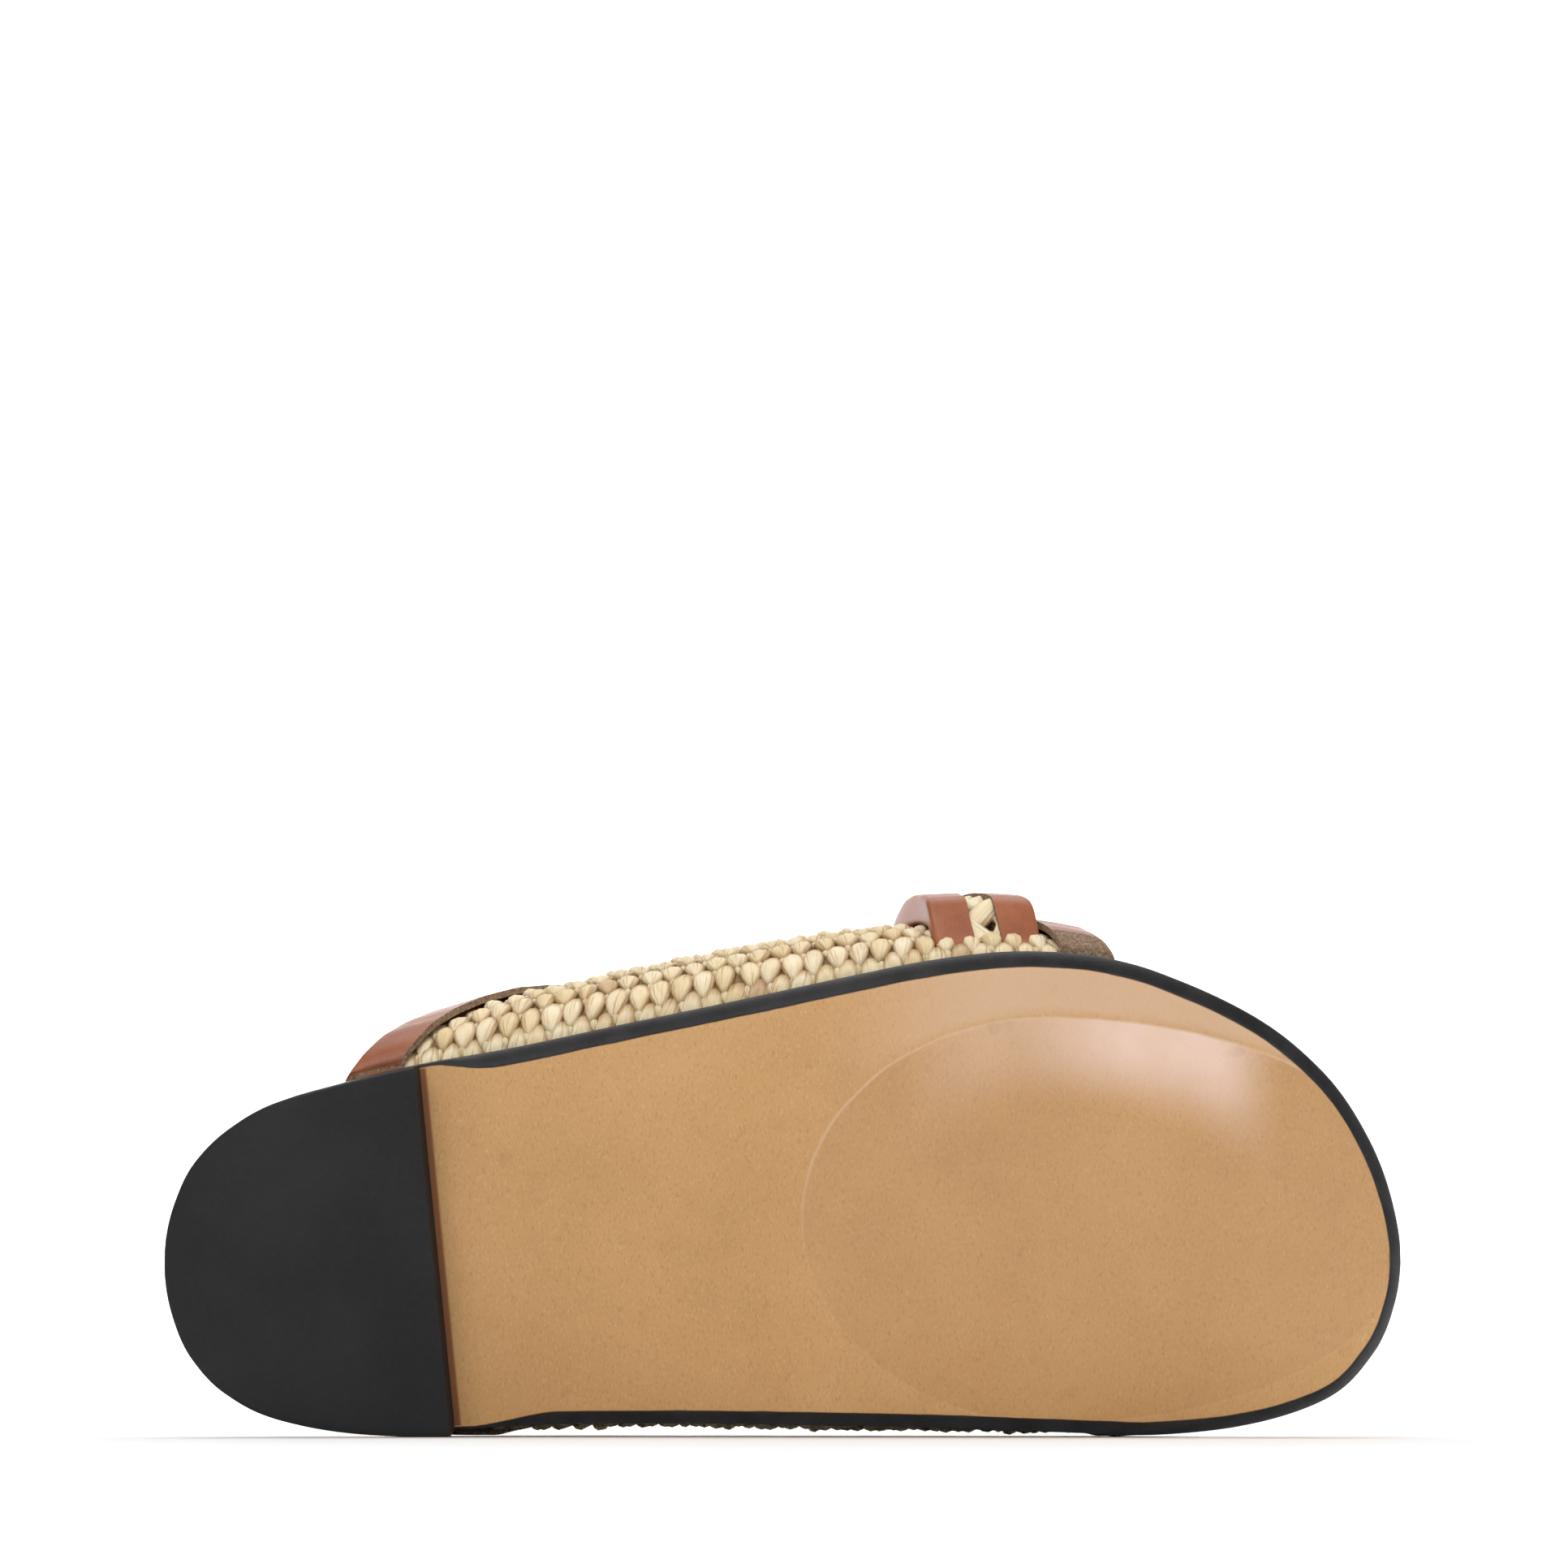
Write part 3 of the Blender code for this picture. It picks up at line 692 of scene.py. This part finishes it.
def fan_stitches(places, draw, half_width, reach, crest, back):
    """Folded raffia loops: fans that narrow to a tip towards the sole.

    Along the fan its width and height follow the outline FAN;
    across it the upper face is half an oval and the under face is flat. A
    fan starts low, under the tips of the row further from the sole, and its
    own tip lies over the row nearer to it. Random shares and strays change
    each one. Returns points, strand coordinates, tone and a depth for painted shade.
    """
    p, wide, tall = np.array(FAN).T[:, None, :, None]
    roof = np.linspace(-0.5 * pi, 0.5 * pi, 7)
    q = np.concatenate((np.sin(roof), (0.55, 0.0, -0.55)))[None, None, :]
    lift = np.concatenate((np.cos(roof) ** 0.8, (-0.15, -0.2, -0.15)))[None, None, :]

    def one(low, high):
        return draw.uniform(low, high, len(places))[:, None, None]

    width = half_width * wide * one(0.92, 1.10)
    lean = one(0.1, 0.9) * FAN_LEAN * (1.0 - p) ** 1.4
    turn = one(-0.11, 0.11)
    along = reach * (FAN_MIDDLE - p) * one(0.95, 1.05) + back + one(-0.0003, 0.0003)
    across = width * q * (1.0 + one(-0.12, 0.12) * q) - lean
    # Painted shade: this depth is lowest at the fan's ends, sides and under face, where the raffia
    # shader darkens it as in a crevice.
    shade_depth = np.clip(tall * lift, 0.0, 1.0)
    height = crest * tall * lift * one(0.88, 1.06) * (1.0 + one(-0.14, 0.14) * q) - FAN_DEPTH
    x, share, way = places.T[:, :, None, None]
    x = x + one(-0.0002, 0.0002)
    room = under_binding(x, share)
    height = height * (0.40 + 0.60 * room) - GAP * (1.0 - room)
    place_x = x + way * (across + turn * along)
    place_share = share + way * (along - turn * across) / girth_at(x)
    points = on_wall(place_x, np.clip(place_share, 0.002, 0.998), height)
    side, run, tone, shade_depth = np.broadcast_arrays(0.5 * q + 0.5, p, one(0.0, 1.0), shade_depth)
    return points, np.stack((side, run), axis=-1), tone, shade_depth


def stitch_pieces(materials):
    """Rows of crochet over the backing, in three runs round the foot."""
    runs = (("stitches_lateral", 0.0, 0.34), ("stitches_crown", 0.34, 0.66),
            ("stitches_medial", 0.66, 1.0))
    draw = np.random.default_rng(7)
    for name, low, high in runs:
        sets = []
        for shift, size in ((0.0, BROAD_FAN), (0.5, SMALL_FAN)):
            places = stitch_places(shift)
            chosen = places[(places[:, 1] > low) & (places[:, 1] <= high)]
            sets.append(fan_stitches(chosen, draw, *size))
        points, uv, tone, shade_depth = (np.concatenate(parts) for parts in zip(*sets))
        bodies, stations, ring = points.shape[:3]
        make_piece(name, points, tube_faces(stations, ring, bodies), materials, "upper",
                   {"tone": tone, "shade_depth": shade_depth}, uv)


# Leather bindings and the strap


def fold_section(reach, low, high, bend):
    """Outer and inner line of leather folded over an edge at 0.

    Each line runs from the tip of one leg, round two quarter circles and
    back to the tip of the other leg, in distances along the rows and above
    the wall.
    """
    def line(offset, radius):
        inside = -FOLD_GAP - offset
        top, bottom = high + GAP + offset, low - GAP - offset
        angle = np.linspace(0.0, 0.5 * pi, 5)
        upper = np.column_stack((inside + radius - radius * np.sin(angle),
                                 top - radius + radius * np.cos(angle)))
        lower = upper[::-1] * (1.0, -1.0) + (0.0, top + bottom)
        leg = np.linspace(reach, inside + radius, 5)[:-1]
        start = np.column_stack((leg, np.full(4, top)))
        end = np.column_stack((leg[::-1], np.full(4, bottom)))
        return np.vstack((start, upper, lower, end))

    return line(LEATHER, bend), line(0.0, 0.35 * bend)


def slant(edge, share):
    """Stretch along the rows that keeps a binding's width square to its edge."""
    before, after = np.maximum(share - 0.01, 0.0), np.minimum(share + 0.01, 1.0)
    ends = [on_wall(LENGTH * edge(end), end, 0.0) for end in (before, after)]
    along = unit(ends[1] - ends[0])
    return 1.0 / np.maximum(np.hypot(along[:, 1], along[:, 2]), 0.55)


def folded_piece(name, shares, x, stretch, reach, low, high, materials, seed, raw=(2, 2)):
    """Leather folded over an edge and carried round the upper.

    For the shares of the girth come the edge's x, a signed stretch along the
    rows, the legs' reach and the levels that the leather encloses. The cut
    edges at the legs' tips, the band's ends and the shares within the raw
    span have the fuzzy finish of cut leather. The width and the outer face
    waver by a sum of sines.
    """
    draw = np.random.default_rng(seed)
    waves = sum(draw.uniform(0.4, 1) * np.sin(2 * pi * k * shares + draw.uniform(0, 6))
                for k in (5, 11, 17, 31)) / 2.5
    reach = reach * (1.0 + 0.035 * waves)
    high = high + 0.00016 * waves
    rings = []
    for share, edge, way, *fold in zip(*np.broadcast_arrays(shares, x, stretch, reach, low, high)):
        outer, inner = fold_section(*fold, 0.0012)
        line = np.vstack((outer, inner[::-1]))
        rings.append(on_wall(edge + way * line[:, 0], share, line[:, 1]))
    rings = np.array(rings)
    count, size = rings.shape[:2]
    half = size // 2
    quads = loop_quads(count, size)
    step = np.arange(len(quads)) % size
    middle = shares[np.arange(len(quads)) // size]
    cut = (step == half - 1) | (step == size - 1) | ((middle > raw[0]) & (middle < raw[1]))
    groups = [quads[~cut], quads[cut], folded_caps(count, half)]
    make_piece(name, rings, groups, materials, name.replace("_leather", ""),
               indices=(0, 1, 1), sharp=40.0)


def binding_pieces(materials):
    """Leather over the upper's rear and front edge."""
    shares = np.linspace(*BINDING_ENDS, 220)
    bands = (("binding_rear_leather", rear_edge, 1.0, 3, (0.955, 1.0)),
             ("binding_front_leather", front_edge, -1.0, 4, (0.0, 0.045)))
    for name, edge, direction, seed, raw in bands:
        folded_piece(name, shares, LENGTH * edge(shares), direction * slant(edge, shares),
                     BINDING_WIDTH, -WALL - GAP, ROW_RISE, materials, seed, raw)


def strap_half(share):
    """Half of the strap's width inside its bindings' folds."""
    return 0.5 * STRAP_WIDTH * strap_share(share) - LEATHER - FOLD_GAP


def strap_levels(share):
    """Under and upper face of the strap; its ends thin out into the wall."""
    out = ease(share, *STRAP_RUN_IN) * (1.0 - ease(share, STRAP_ENDS[1] - 0.04, STRAP_ENDS[1]))
    low = ROW_RISE + 2 * GAP + LEATHER
    low = STRAP_SUNK + (low - STRAP_SUNK) * out
    return low, low + STRAP_THICKNESS * (0.1 + 0.9 * out)


def strap_binding_pieces(materials):
    """Leather over the strap's rear and front edge."""
    shares = np.linspace(*STRAP_ENDS, 150)
    for name, direction, seed in (("strap_binding_rear_leather", 1.0, 5),
                                  ("strap_binding_front_leather", -1.0, 6)):
        x = LENGTH * strap_middle(shares) - direction * strap_half(shares)
        folded_piece(name, shares, x, direction, STRAP_BINDING_WIDTH * strap_share(shares),
                     *strap_levels(shares), materials, seed)


def strap_plait(materials):
    """Three folded raffia strands plaited between the strap's bindings.

    A strand runs in a sine across the strap and in a sine of twice that pace
    through its thickness. Its section is an oval with small folds.
    """
    ring, stations = 16, 240
    draw = np.random.default_rng(21)
    strand = np.arange(3)[:, None, None]
    share = np.linspace(*STRAP_ENDS, stations)[:, None]
    angle = np.linspace(0.0, 2.0 * pi, ring, endpoint=False)
    run = share * girth_at(LENGTH * strap_middle(share))
    low, high = strap_levels(share)
    thin = (high - low) / STRAP_THICKNESS
    phase = 2.0 * pi * (run / PLAIT_PITCH + strand / 3.0)
    phase = phase + 0.25 * np.sin(run * 150.0 + 2.0 * strand)
    reach = STRAND_WIDTH * strap_share(share)
    middle = LENGTH * strap_middle(share) + (strap_half(share) - reach) * np.sin(phase)
    folds = 1.0 + 0.10 * np.cos(5.0 * angle + 3.0 * phase) + 0.05 * np.cos(9.0 * angle - phase)
    x = middle + reach * folds * np.cos(angle)
    level = 0.5 * (low + high) + thin * (STRAND_WEAVE * np.sin(2.0 * phase) + 0.0002)
    rise = level + thin * STRAND_THICKNESS * folds * np.sin(angle)
    # Painted shade: darker on a strand's under face and where it dips under the others.
    shade_depth = np.clip(0.55 + 0.45 * np.sin(angle) + 0.25 * np.sin(2.0 * phase), 0.1, 1.0)
    tone, shade_depth, side, along = np.broadcast_arrays(draw.uniform(0.3, 0.8, 3)[:, None, None], shade_depth,
                                                   angle / pi, run * 55.0 + strand)
    make_piece("strap_plait", on_wall(x, share, rise), tube_faces(stations, ring, 3), materials,
               "strap", {"tone": tone, "shade_depth": shade_depth},
               np.stack((side, along), axis=-1))


# Shader nodes and node groups


def put(tree, socket, value):
    """Link a socket into an input, or set the input to a plain value."""
    if isinstance(value, bpy.types.NodeSocket):
        tree.links.new(value, socket)
    else:
        socket.default_value = (*value, 1.0) if socket.type == "RGBA" else value


def add_node(tree, kind, inputs=None, **settings):
    """A node with its settings and its input values or links."""
    node = tree.nodes.new(kind)
    for key, value in settings.items():
        setattr(node, key, value)
    for key, value in (inputs or {}).items():
        put(tree, node.inputs[key], value)
    return node


def ramp(tree, source, stops):
    """A colour ramp with the given places and colours."""
    node = add_node(tree, "ShaderNodeValToRGB", {"Fac": source})
    band = node.color_ramp.elements
    while len(band) < len(stops):
        band.new(0.5)
    for element, (place, color) in zip(band, stops):
        element.position = place
        element.color = (*color, 1.0)
    return node.outputs["Color"]


def mix(tree, factor, first, second, blend="MIX"):
    """A colour mix of two colours or sockets."""
    return add_node(tree, "ShaderNodeMix", {0: factor, 6: first, 7: second},
                    data_type="RGBA", blend_type=blend).outputs[2]


def calc(tree, operation, first, second=0.0):
    """A math node on values or sockets."""
    return add_node(tree, "ShaderNodeMath", {0: first, 1: second}, operation=operation).outputs[0]


def times(tree, first, second):
    """The product of two values."""
    return calc(tree, "MULTIPLY", first, second)


def noise(tree, place, scale, detail, roughness=0.5):
    """Fractal noise, mostly between 0.3 and 0.7."""
    return add_node(tree, "ShaderNodeTexNoise", {
        "Vector": place, "Scale": scale, "Detail": detail, "Roughness": roughness}).outputs["Fac"]


def span(tree, value, start, end, low=0.0, high=1.0):
    """Low where the value is start, high where it is end, straight between."""
    return add_node(tree, "ShaderNodeMapRange", {
        "Value": value, "From Min": start, "From Max": end,
        "To Min": low, "To Max": high}).outputs["Result"]


def mapped(tree, source, scale, rotation=(0.0, 0.0, 0.0)):
    """Coordinates stretched by a factor on each axis, then turned."""
    return add_node(tree, "ShaderNodeMapping", {
        "Vector": source, "Rotation": rotation, "Scale": scale}).outputs["Vector"]


def attribute(tree, name):
    """A number stored at the points of the mesh."""
    return add_node(tree, "ShaderNodeAttribute", attribute_name=name).outputs["Fac"]


def object_place(tree):
    """Coordinates of the piece in the shoe's frame."""
    return add_node(tree, "ShaderNodeTexCoord").outputs["Object"]


def new_group(name, inputs, outputs):
    """A shader group of a vector and numbers: its tree and both ends' sockets."""
    group = bpy.data.node_groups.new(name, "ShaderNodeTree")
    group.interface.new_socket(name="Vector", in_out="INPUT", socket_type="NodeSocketVector")
    for label, value in inputs.items():
        group.interface.new_socket(name=label, in_out="INPUT",
                                   socket_type="NodeSocketFloat").default_value = value
    for label in outputs:
        group.interface.new_socket(name=label, in_out="OUTPUT", socket_type="NodeSocketFloat")
    start, end = (group.nodes.new(kind) for kind in ("NodeGroupInput", "NodeGroupOutput"))
    return group, start.outputs, end.inputs


def leather_group():
    """Pores, fine grain and slow changes of tone on smooth leather."""
    tree, given, result = new_group("smooth_leather_grain", {"Scale": 900.0, "Mottle": 60.0},
                                    ("Height", "Tone", "Pores"))
    place = given["Vector"]
    cells = add_node(tree, "ShaderNodeTexVoronoi", {"Vector": place, "Scale": given["Scale"]},
                     feature="DISTANCE_TO_EDGE")
    creases = times(tree, calc(tree, "MINIMUM", cells.outputs["Distance"], 0.12), 8.0)
    fine = noise(tree, place, times(tree, given["Scale"], 2.4), 3.0)
    height = calc(tree, "ADD", times(tree, creases, 0.6), times(tree, fine, 0.4))
    put(tree, result["Height"], height)
    put(tree, result["Tone"], noise(tree, place, given["Mottle"], 5.0, 0.6))
    put(tree, result["Pores"], calc(tree, "SUBTRACT", 1.0, creases))
    return tree


def fleck_group():
    """Short fibres and specks pressed into raw sole leather."""
    tree, given, result = new_group("sole_fibre_flecks", {"Size": 2100.0},
                                    ("Dark", "Light", "Cloud"))
    for label, turn, high in (("Dark", 0.6, 0.74), ("Light", -0.9, 0.76)):
        place = mapped(tree, given["Vector"], (1.0, 1.0, 0.5), (0.0, turn, 0.3))
        put(tree, result[label], span(tree, noise(tree, place, given["Size"], 2.0), 0.54, high))
    put(tree, result["Cloud"], noise(tree, given["Vector"], 26.0, 6.0, 0.62))
    return tree


def fibre_group():
    """Long fibres of a raffia leaf, along the strand's own length."""
    tree, given, result = new_group("raffia_fibres", {"Seed": 0.0}, ("Lines", "Fold", "Patch"))
    moved = add_node(tree, "ShaderNodeCombineXYZ", {"X": times(tree, given["Seed"], 37.0),
                                                   "Y": times(tree, given["Seed"], 11.0)})
    shifted = add_node(tree, "ShaderNodeVectorMath", {
        0: given["Vector"], 1: moved.outputs["Vector"]}, operation="ADD").outputs["Vector"]
    for label, scale, detail in (("Lines", (30.0, 2.0, 1.0), 3.0),
                                 ("Fold", (7.5, 0.8, 1.0), 1.0), ("Patch", (1.6, 1.6, 1.0), 3.0)):
        put(tree, result[label], noise(tree, mapped(tree, shifted, scale), 1.0, detail, 0.6))
    return tree


# Materials


def new_material(name, roughness, **values):
    """A Principled material: itself, its tree and its shader's inputs."""
    material = bpy.data.materials.new(name)
    material.use_nodes = True
    tree = material.node_tree
    inputs = tree.nodes["Principled BSDF"].inputs
    inputs["Roughness"].default_value = roughness
    for label, value in values.items():
        inputs[label.replace("_", " ")].default_value = value
    return material, tree, inputs


def finish(material, inputs, color, height, strength, distance, rough=None):
    """The material with its colour, bump and, where it changes, roughness."""
    tree = material.node_tree
    bump = add_node(tree, "ShaderNodeBump", {"Height": height, "Strength": strength,
                                             "Distance": distance})
    put(tree, inputs["Base Color"], color)
    put(tree, inputs["Normal"], bump.outputs["Normal"])
    if rough is not None:
        put(tree, inputs["Roughness"], rough)
    return material


def raffia_material():
    """Folded strands of cream raffia with fine fibres, painted shade where deep and in the folds.
    """
    material, tree, inputs = new_material("cream_raffia", 0.62, Specular_IOR_Level=0.35)
    tone = attribute(tree, "tone")
    uv = add_node(tree, "ShaderNodeTexCoord").outputs["UV"]
    fibres = add_node(tree, "ShaderNodeGroup", {"Vector": uv, "Seed": tone},
                      node_tree=fibre_group()).outputs
    base = ramp(tree, tone, ((0.0, (0.84, 0.67, 0.40)), (0.25, (0.92, 0.78, 0.52)),
                             (0.70, (0.95, 0.83, 0.59)), (0.95, (0.88, 0.72, 0.46)),
                             (1.0, (0.66, 0.47, 0.28))))
    white = (1.0, 1.0, 1.0)
    shades = (
        (0.6, fibres["Lines"], ((0.32, (0.76, 0.68, 0.56)), (0.46, white))),
        # Painted shade in the folds: the valleys of the pleats' bump are darkened.
        (0.7, fibres["Fold"], ((0.34, (0.60, 0.48, 0.34)), (0.43, white))),
        (0.7, fibres["Patch"], ((0.36, (0.88, 0.80, 0.68)), (0.58, white))),
        # Painted shade: the raffia turns brown-black where its depth is low, in the crevices.
        (1.0, attribute(tree, "shade_depth"), ((0.18, (0.07, 0.042, 0.022)),
                                         (0.48, (0.44, 0.33, 0.21)), (0.80, white))),
    )
    for share, source, stops in shades:
        base = mix(tree, share, base, ramp(tree, source, stops), "MULTIPLY")
    height = calc(tree, "ADD", times(tree, fibres["Lines"], 0.35), fibres["Fold"])
    return finish(material, inputs, base, height, 0.7, 0.0005,
                  span(tree, fibres["Lines"], 0.0, 1.0, 0.50, 0.74))


def grainy_material(name, roughness, grain, stops, bump):
    """One noise for both colour and bump: scale, detail and roughness."""
    material, tree, inputs = new_material(name, roughness, Specular_IOR_Level=0.2)
    value = noise(tree, object_place(tree), *grain)
    return finish(material, inputs, ramp(tree, value, stops), value, *bump)


def sole_material():
    """Raw tan sole leather with flecks, a black painted edge and clear film, and painted glare and
    shade.
    """
    material, tree, inputs = new_material("tan_sole_leather", 0.5, Specular_IOR_Level=0.28,
                                          Coat_Roughness=0.12)
    place = object_place(tree)
    flecks = add_node(tree, "ShaderNodeGroup", {"Vector": place},
                      node_tree=fleck_group()).outputs
    wave = noise(tree, place, 160.0, 4.0)
    waver = calc(tree, "SUBTRACT", wave, 0.5)
    tan = ramp(tree, flecks["Cloud"], ((0.30, (0.48, 0.268, 0.104)), (0.52, (0.53, 0.300, 0.120)),
                                       (0.72, (0.565, 0.330, 0.140))))
    tan = mix(tree, times(tree, flecks["Dark"], 0.34), tan, (0.27, 0.145, 0.062))
    tan = mix(tree, times(tree, flecks["Light"], 0.26), tan, (0.70, 0.50, 0.29))
    # Painted highlight on the bare leather of the lateral forefoot.
    tan = mix(tree, times(tree, attribute(tree, "pale"), 0.75), tan, (0.62, 0.415, 0.275))

    film_edge = calc(tree, "ADD", attribute(tree, "film"), times(tree, waver, 0.012))
    film = span(tree, film_edge, -0.002, 0.006)
    tan = mix(tree, film, tan, mix(tree, 1.0, tan, (0.92, 0.87, 0.74), "MULTIPLY"))
    # Painted lamp reflection on the film, mottled by noise.
    glare_mottle = times(tree, film, span(tree, wave, 0.30, 0.62, 0.86, 1.0))
    tan = mix(tree, times(tree, attribute(tree, "film_glare"), glare_mottle), tan, (0.74, 0.52, 0.41))
    # Painted highlight: a light line along the film's edge.
    film_edge_highlight = span(tree, calc(tree, "ABSOLUTE", film_edge), 0.0, 0.010, 0.50, 0.0)
    tan = mix(tree, times(tree, film_edge_highlight, attribute(tree, "film_edge_highlight")), tan, (0.66, 0.47, 0.31))

    # Painted shade: a dark red-brown line in the corner in front of the heel breast.
    breast = span(tree, attribute(tree, "breast"), 0.0010, 0.0015, 0.85, 0.0)
    tan = mix(tree, breast, tan, (0.17, 0.05, 0.02))
    paint_edge = calc(tree, "ADD", attribute(tree, "paint"), times(tree, waver, 0.7))
    paint = span(tree, paint_edge, 0.42, 0.60)
    stain = times(tree, span(tree, paint_edge, 0.10, 0.50), 0.7)
    tan = mix(tree, stain, tan, (0.16, 0.07, 0.03))
    black = ramp(tree, wave, ((0.35, (0.008, 0.008, 0.009)), (0.75, (0.022, 0.021, 0.023))))

    bare = span(tree, flecks["Cloud"], 0.0, 1.0, 0.42, 0.58)
    rough = add_node(tree, "ShaderNodeMix", {0: paint, 2: bare, 3: 0.44}, data_type="FLOAT")
    put(tree, inputs["Coat Weight"], times(tree, film, 0.9))
    wrinkle = noise(tree, mapped(tree, place, (1.0, 1.0, 0.5)), 330.0, 3.0)
    height = calc(tree, "ADD", times(tree, flecks["Dark"], -0.4),
                  times(tree, wrinkle, times(tree, film, 0.5)))
    return finish(material, inputs, mix(tree, paint, tan, black), height, 0.35, 0.0002,
                  rough.outputs[0])


def rubber_material():
    """Matte black heel rubber with a fine bloom."""
    material, tree, inputs = new_material("black_heel_rubber", 0.70, Specular_IOR_Level=0.22)
    place = object_place(tree)
    fine = noise(tree, place, 900.0, 4.0)
    color = ramp(tree, noise(tree, place, 45.0, 5.0),
                 ((0.35, (0.011, 0.011, 0.012)), (0.7, (0.018, 0.0175, 0.019))))
    bloom = mix(tree, times(tree, fine, 0.25), color, (0.034, 0.033, 0.035))
    return finish(material, inputs, bloom, fine, 0.35, 0.00015)


def smooth_leather(grain_group, name, light, dark, roughness, scale, mottle):
    """Dyed smooth leather with pores and slow changes of tone."""
    material, tree, inputs = new_material(name, roughness, Specular_IOR_Level=0.5,
                                          Coat_Roughness=0.35, Coat_Weight=0.1)
    grain = add_node(tree, "ShaderNodeGroup", {
        "Vector": object_place(tree), "Scale": scale, "Mottle": mottle},
        node_tree=grain_group).outputs
    color = ramp(tree, grain["Tone"], ((0.32, dark), (0.68, light)))
    color = mix(tree, times(tree, grain["Pores"], 0.14), color, tuple(0.45 * c for c in dark))
    return finish(material, inputs, color, grain["Height"], 0.28, 0.00012,
                  span(tree, grain["Tone"], 0.0, 1.0, roughness - 0.08, roughness + 0.10))


# Stage, light and camera


def add_stage():
    """A pale floor that sweeps up into a backdrop, as one bent sheet."""
    angle = np.linspace(0.0, 0.5 * pi, 24)
    bend, back, reach, top = 0.8, 1.6, 20.0, 4.0
    y = np.concatenate(([-reach], [0.0], back + bend * np.sin(angle), [back + bend]))
    z = np.concatenate(([0.0], [0.0], bend - bend * np.cos(angle), [top]))
    points = [(x, b, c) for x in (-reach, reach) for b, c in zip(y, z)]
    count = len(y)
    faces = [(k, k + count, k + count + 1, k + 1) for k in range(count - 1)]
    mesh = bpy.data.meshes.new("floor")
    mesh.from_pydata(points, [], faces)
    mesh.shade_smooth()
    mesh.materials.append(new_material("pale_floor", 0.8, Specular_IOR_Level=0.1,
                                       Base_Color=(0.97, 0.97, 0.97, 1.0))[0])
    floor = bpy.data.objects.new("floor", mesh)
    bpy.context.scene.collection.objects.link(floor)


def add_light(name, place, aim, size, energy):
    """A soft area light that looks at a point."""
    lamp = bpy.data.lights.new(name, "AREA")
    lamp.shape = "RECTANGLE"
    lamp.size, lamp.size_y = size
    lamp.energy = energy
    light = bpy.data.objects.new(name, lamp)
    light.location = place
    light.rotation_euler = (Vector(aim) - Vector(place)).to_track_quat("-Z", "Y").to_euler()
    bpy.context.scene.collection.objects.link(light)


def add_lights():
    """Even studio light: two front boxes, one above, one on the backdrop.

    The room lights the shoe weakly but looks white to the camera.
    """
    add_light("key_box", (-0.7, -1.7, 1.4), (0.0, 0.0, 0.05), (1.2, 1.2), 15.0)
    add_light("fill_box", (0.5, -1.7, 0.25), (0.0, 0.0, 0.05), (2.2, 0.4), 9.0)
    add_light("top_box", (0.0, 0.3, 1.7), (0.0, 0.0, 0.0), (1.6, 1.2), 14.0)
    add_light("back_box", (0.0, 1.2, 1.2), (0.0, 2.4, 0.6), (3.0, 1.0), 60.0)
    world = bpy.data.worlds.new("pale_room")
    world.use_nodes = True
    tree = world.node_tree
    room = tree.nodes["Background"].inputs
    room["Color"].default_value = (1.0, 1.0, 1.0, 1.0)
    seen = add_node(tree, "ShaderNodeLightPath").outputs["Is Camera Ray"]
    put(tree, room["Strength"], span(tree, seen, 0.0, 1.0, 0.36, 1.0))
    bpy.context.scene.world = world


def add_camera():
    """The eye just over the floor, square to the sole's upper edge."""
    data = bpy.data.cameras.new("camera")
    data.lens = LENS
    data.sensor_width = SENSOR
    data.clip_start = 0.01
    camera = bpy.data.objects.new("camera", data)
    tread_y = HEEL_MOUNT["pos_m"][1]
    camera.location = (CAMERA_X, tread_y - EYE_DISTANCE, EYE_HEIGHT)
    aim = Vector((CAMERA_X, tread_y, AIM_HEIGHT)) - camera.location
    camera.rotation_euler = aim.to_track_quat("-Z", "Y").to_euler()
    bpy.context.scene.collection.objects.link(camera)
    bpy.context.scene.camera = camera
    bpy.context.scene.view_settings.view_transform = "Standard"


def dress_slipper():
    """Every finished piece of the slipper."""
    grain = leather_group()
    raffia = raffia_material()
    # Painted shade: the backing's dark brown stands for the shadow in the gaps between the
    # stitches.
    backing = grainy_material("raffia_backing_shade_dark", 0.85, (420.0, 4.0),
                              ((0.3, (0.20, 0.13, 0.065)), (0.7, (0.36, 0.25, 0.13))),
                              (0.6, 0.0005))
    cut_edge = grainy_material("cut_leather_edge", 0.9, (1500.0, 5.0, 0.7),
                               ((0.32, (0.16, 0.095, 0.06)), (0.52, (0.32, 0.215, 0.14)),
                                (0.70, (0.56, 0.42, 0.29))), (0.9, 0.0006))
    binding = smooth_leather(grain, "brown_binding_leather", (0.40, 0.125, 0.045),
                             (0.27, 0.075, 0.026), 0.40, 1100.0, 90.0)
    lining = smooth_leather(grain, "natural_lining_leather", (0.62, 0.42, 0.24),
                            (0.50, 0.32, 0.17), 0.55, 800.0, 50.0)
    footbed = smooth_leather(grain, "natural_footbed_leather", (0.56, 0.36, 0.19),
                             (0.46, 0.28, 0.14), 0.50, 700.0, 40.0)
    outsole_piece([sole_material()])
    heel_piece([rubber_material()])
    insole_piece([footbed])
    wall_shell("upper_lining", -WALL + LINING, -WALL, lining)
    wall_shell("upper_backing", -0.0002, -WALL + LINING + 0.0001, backing)
    stitch_pieces([raffia])
    binding_pieces([binding, cut_edge])
    strap_plait([raffia])
    strap_binding_pieces([binding, cut_edge])


add_camera()
add_stage()
add_lights()
dress_slipper()
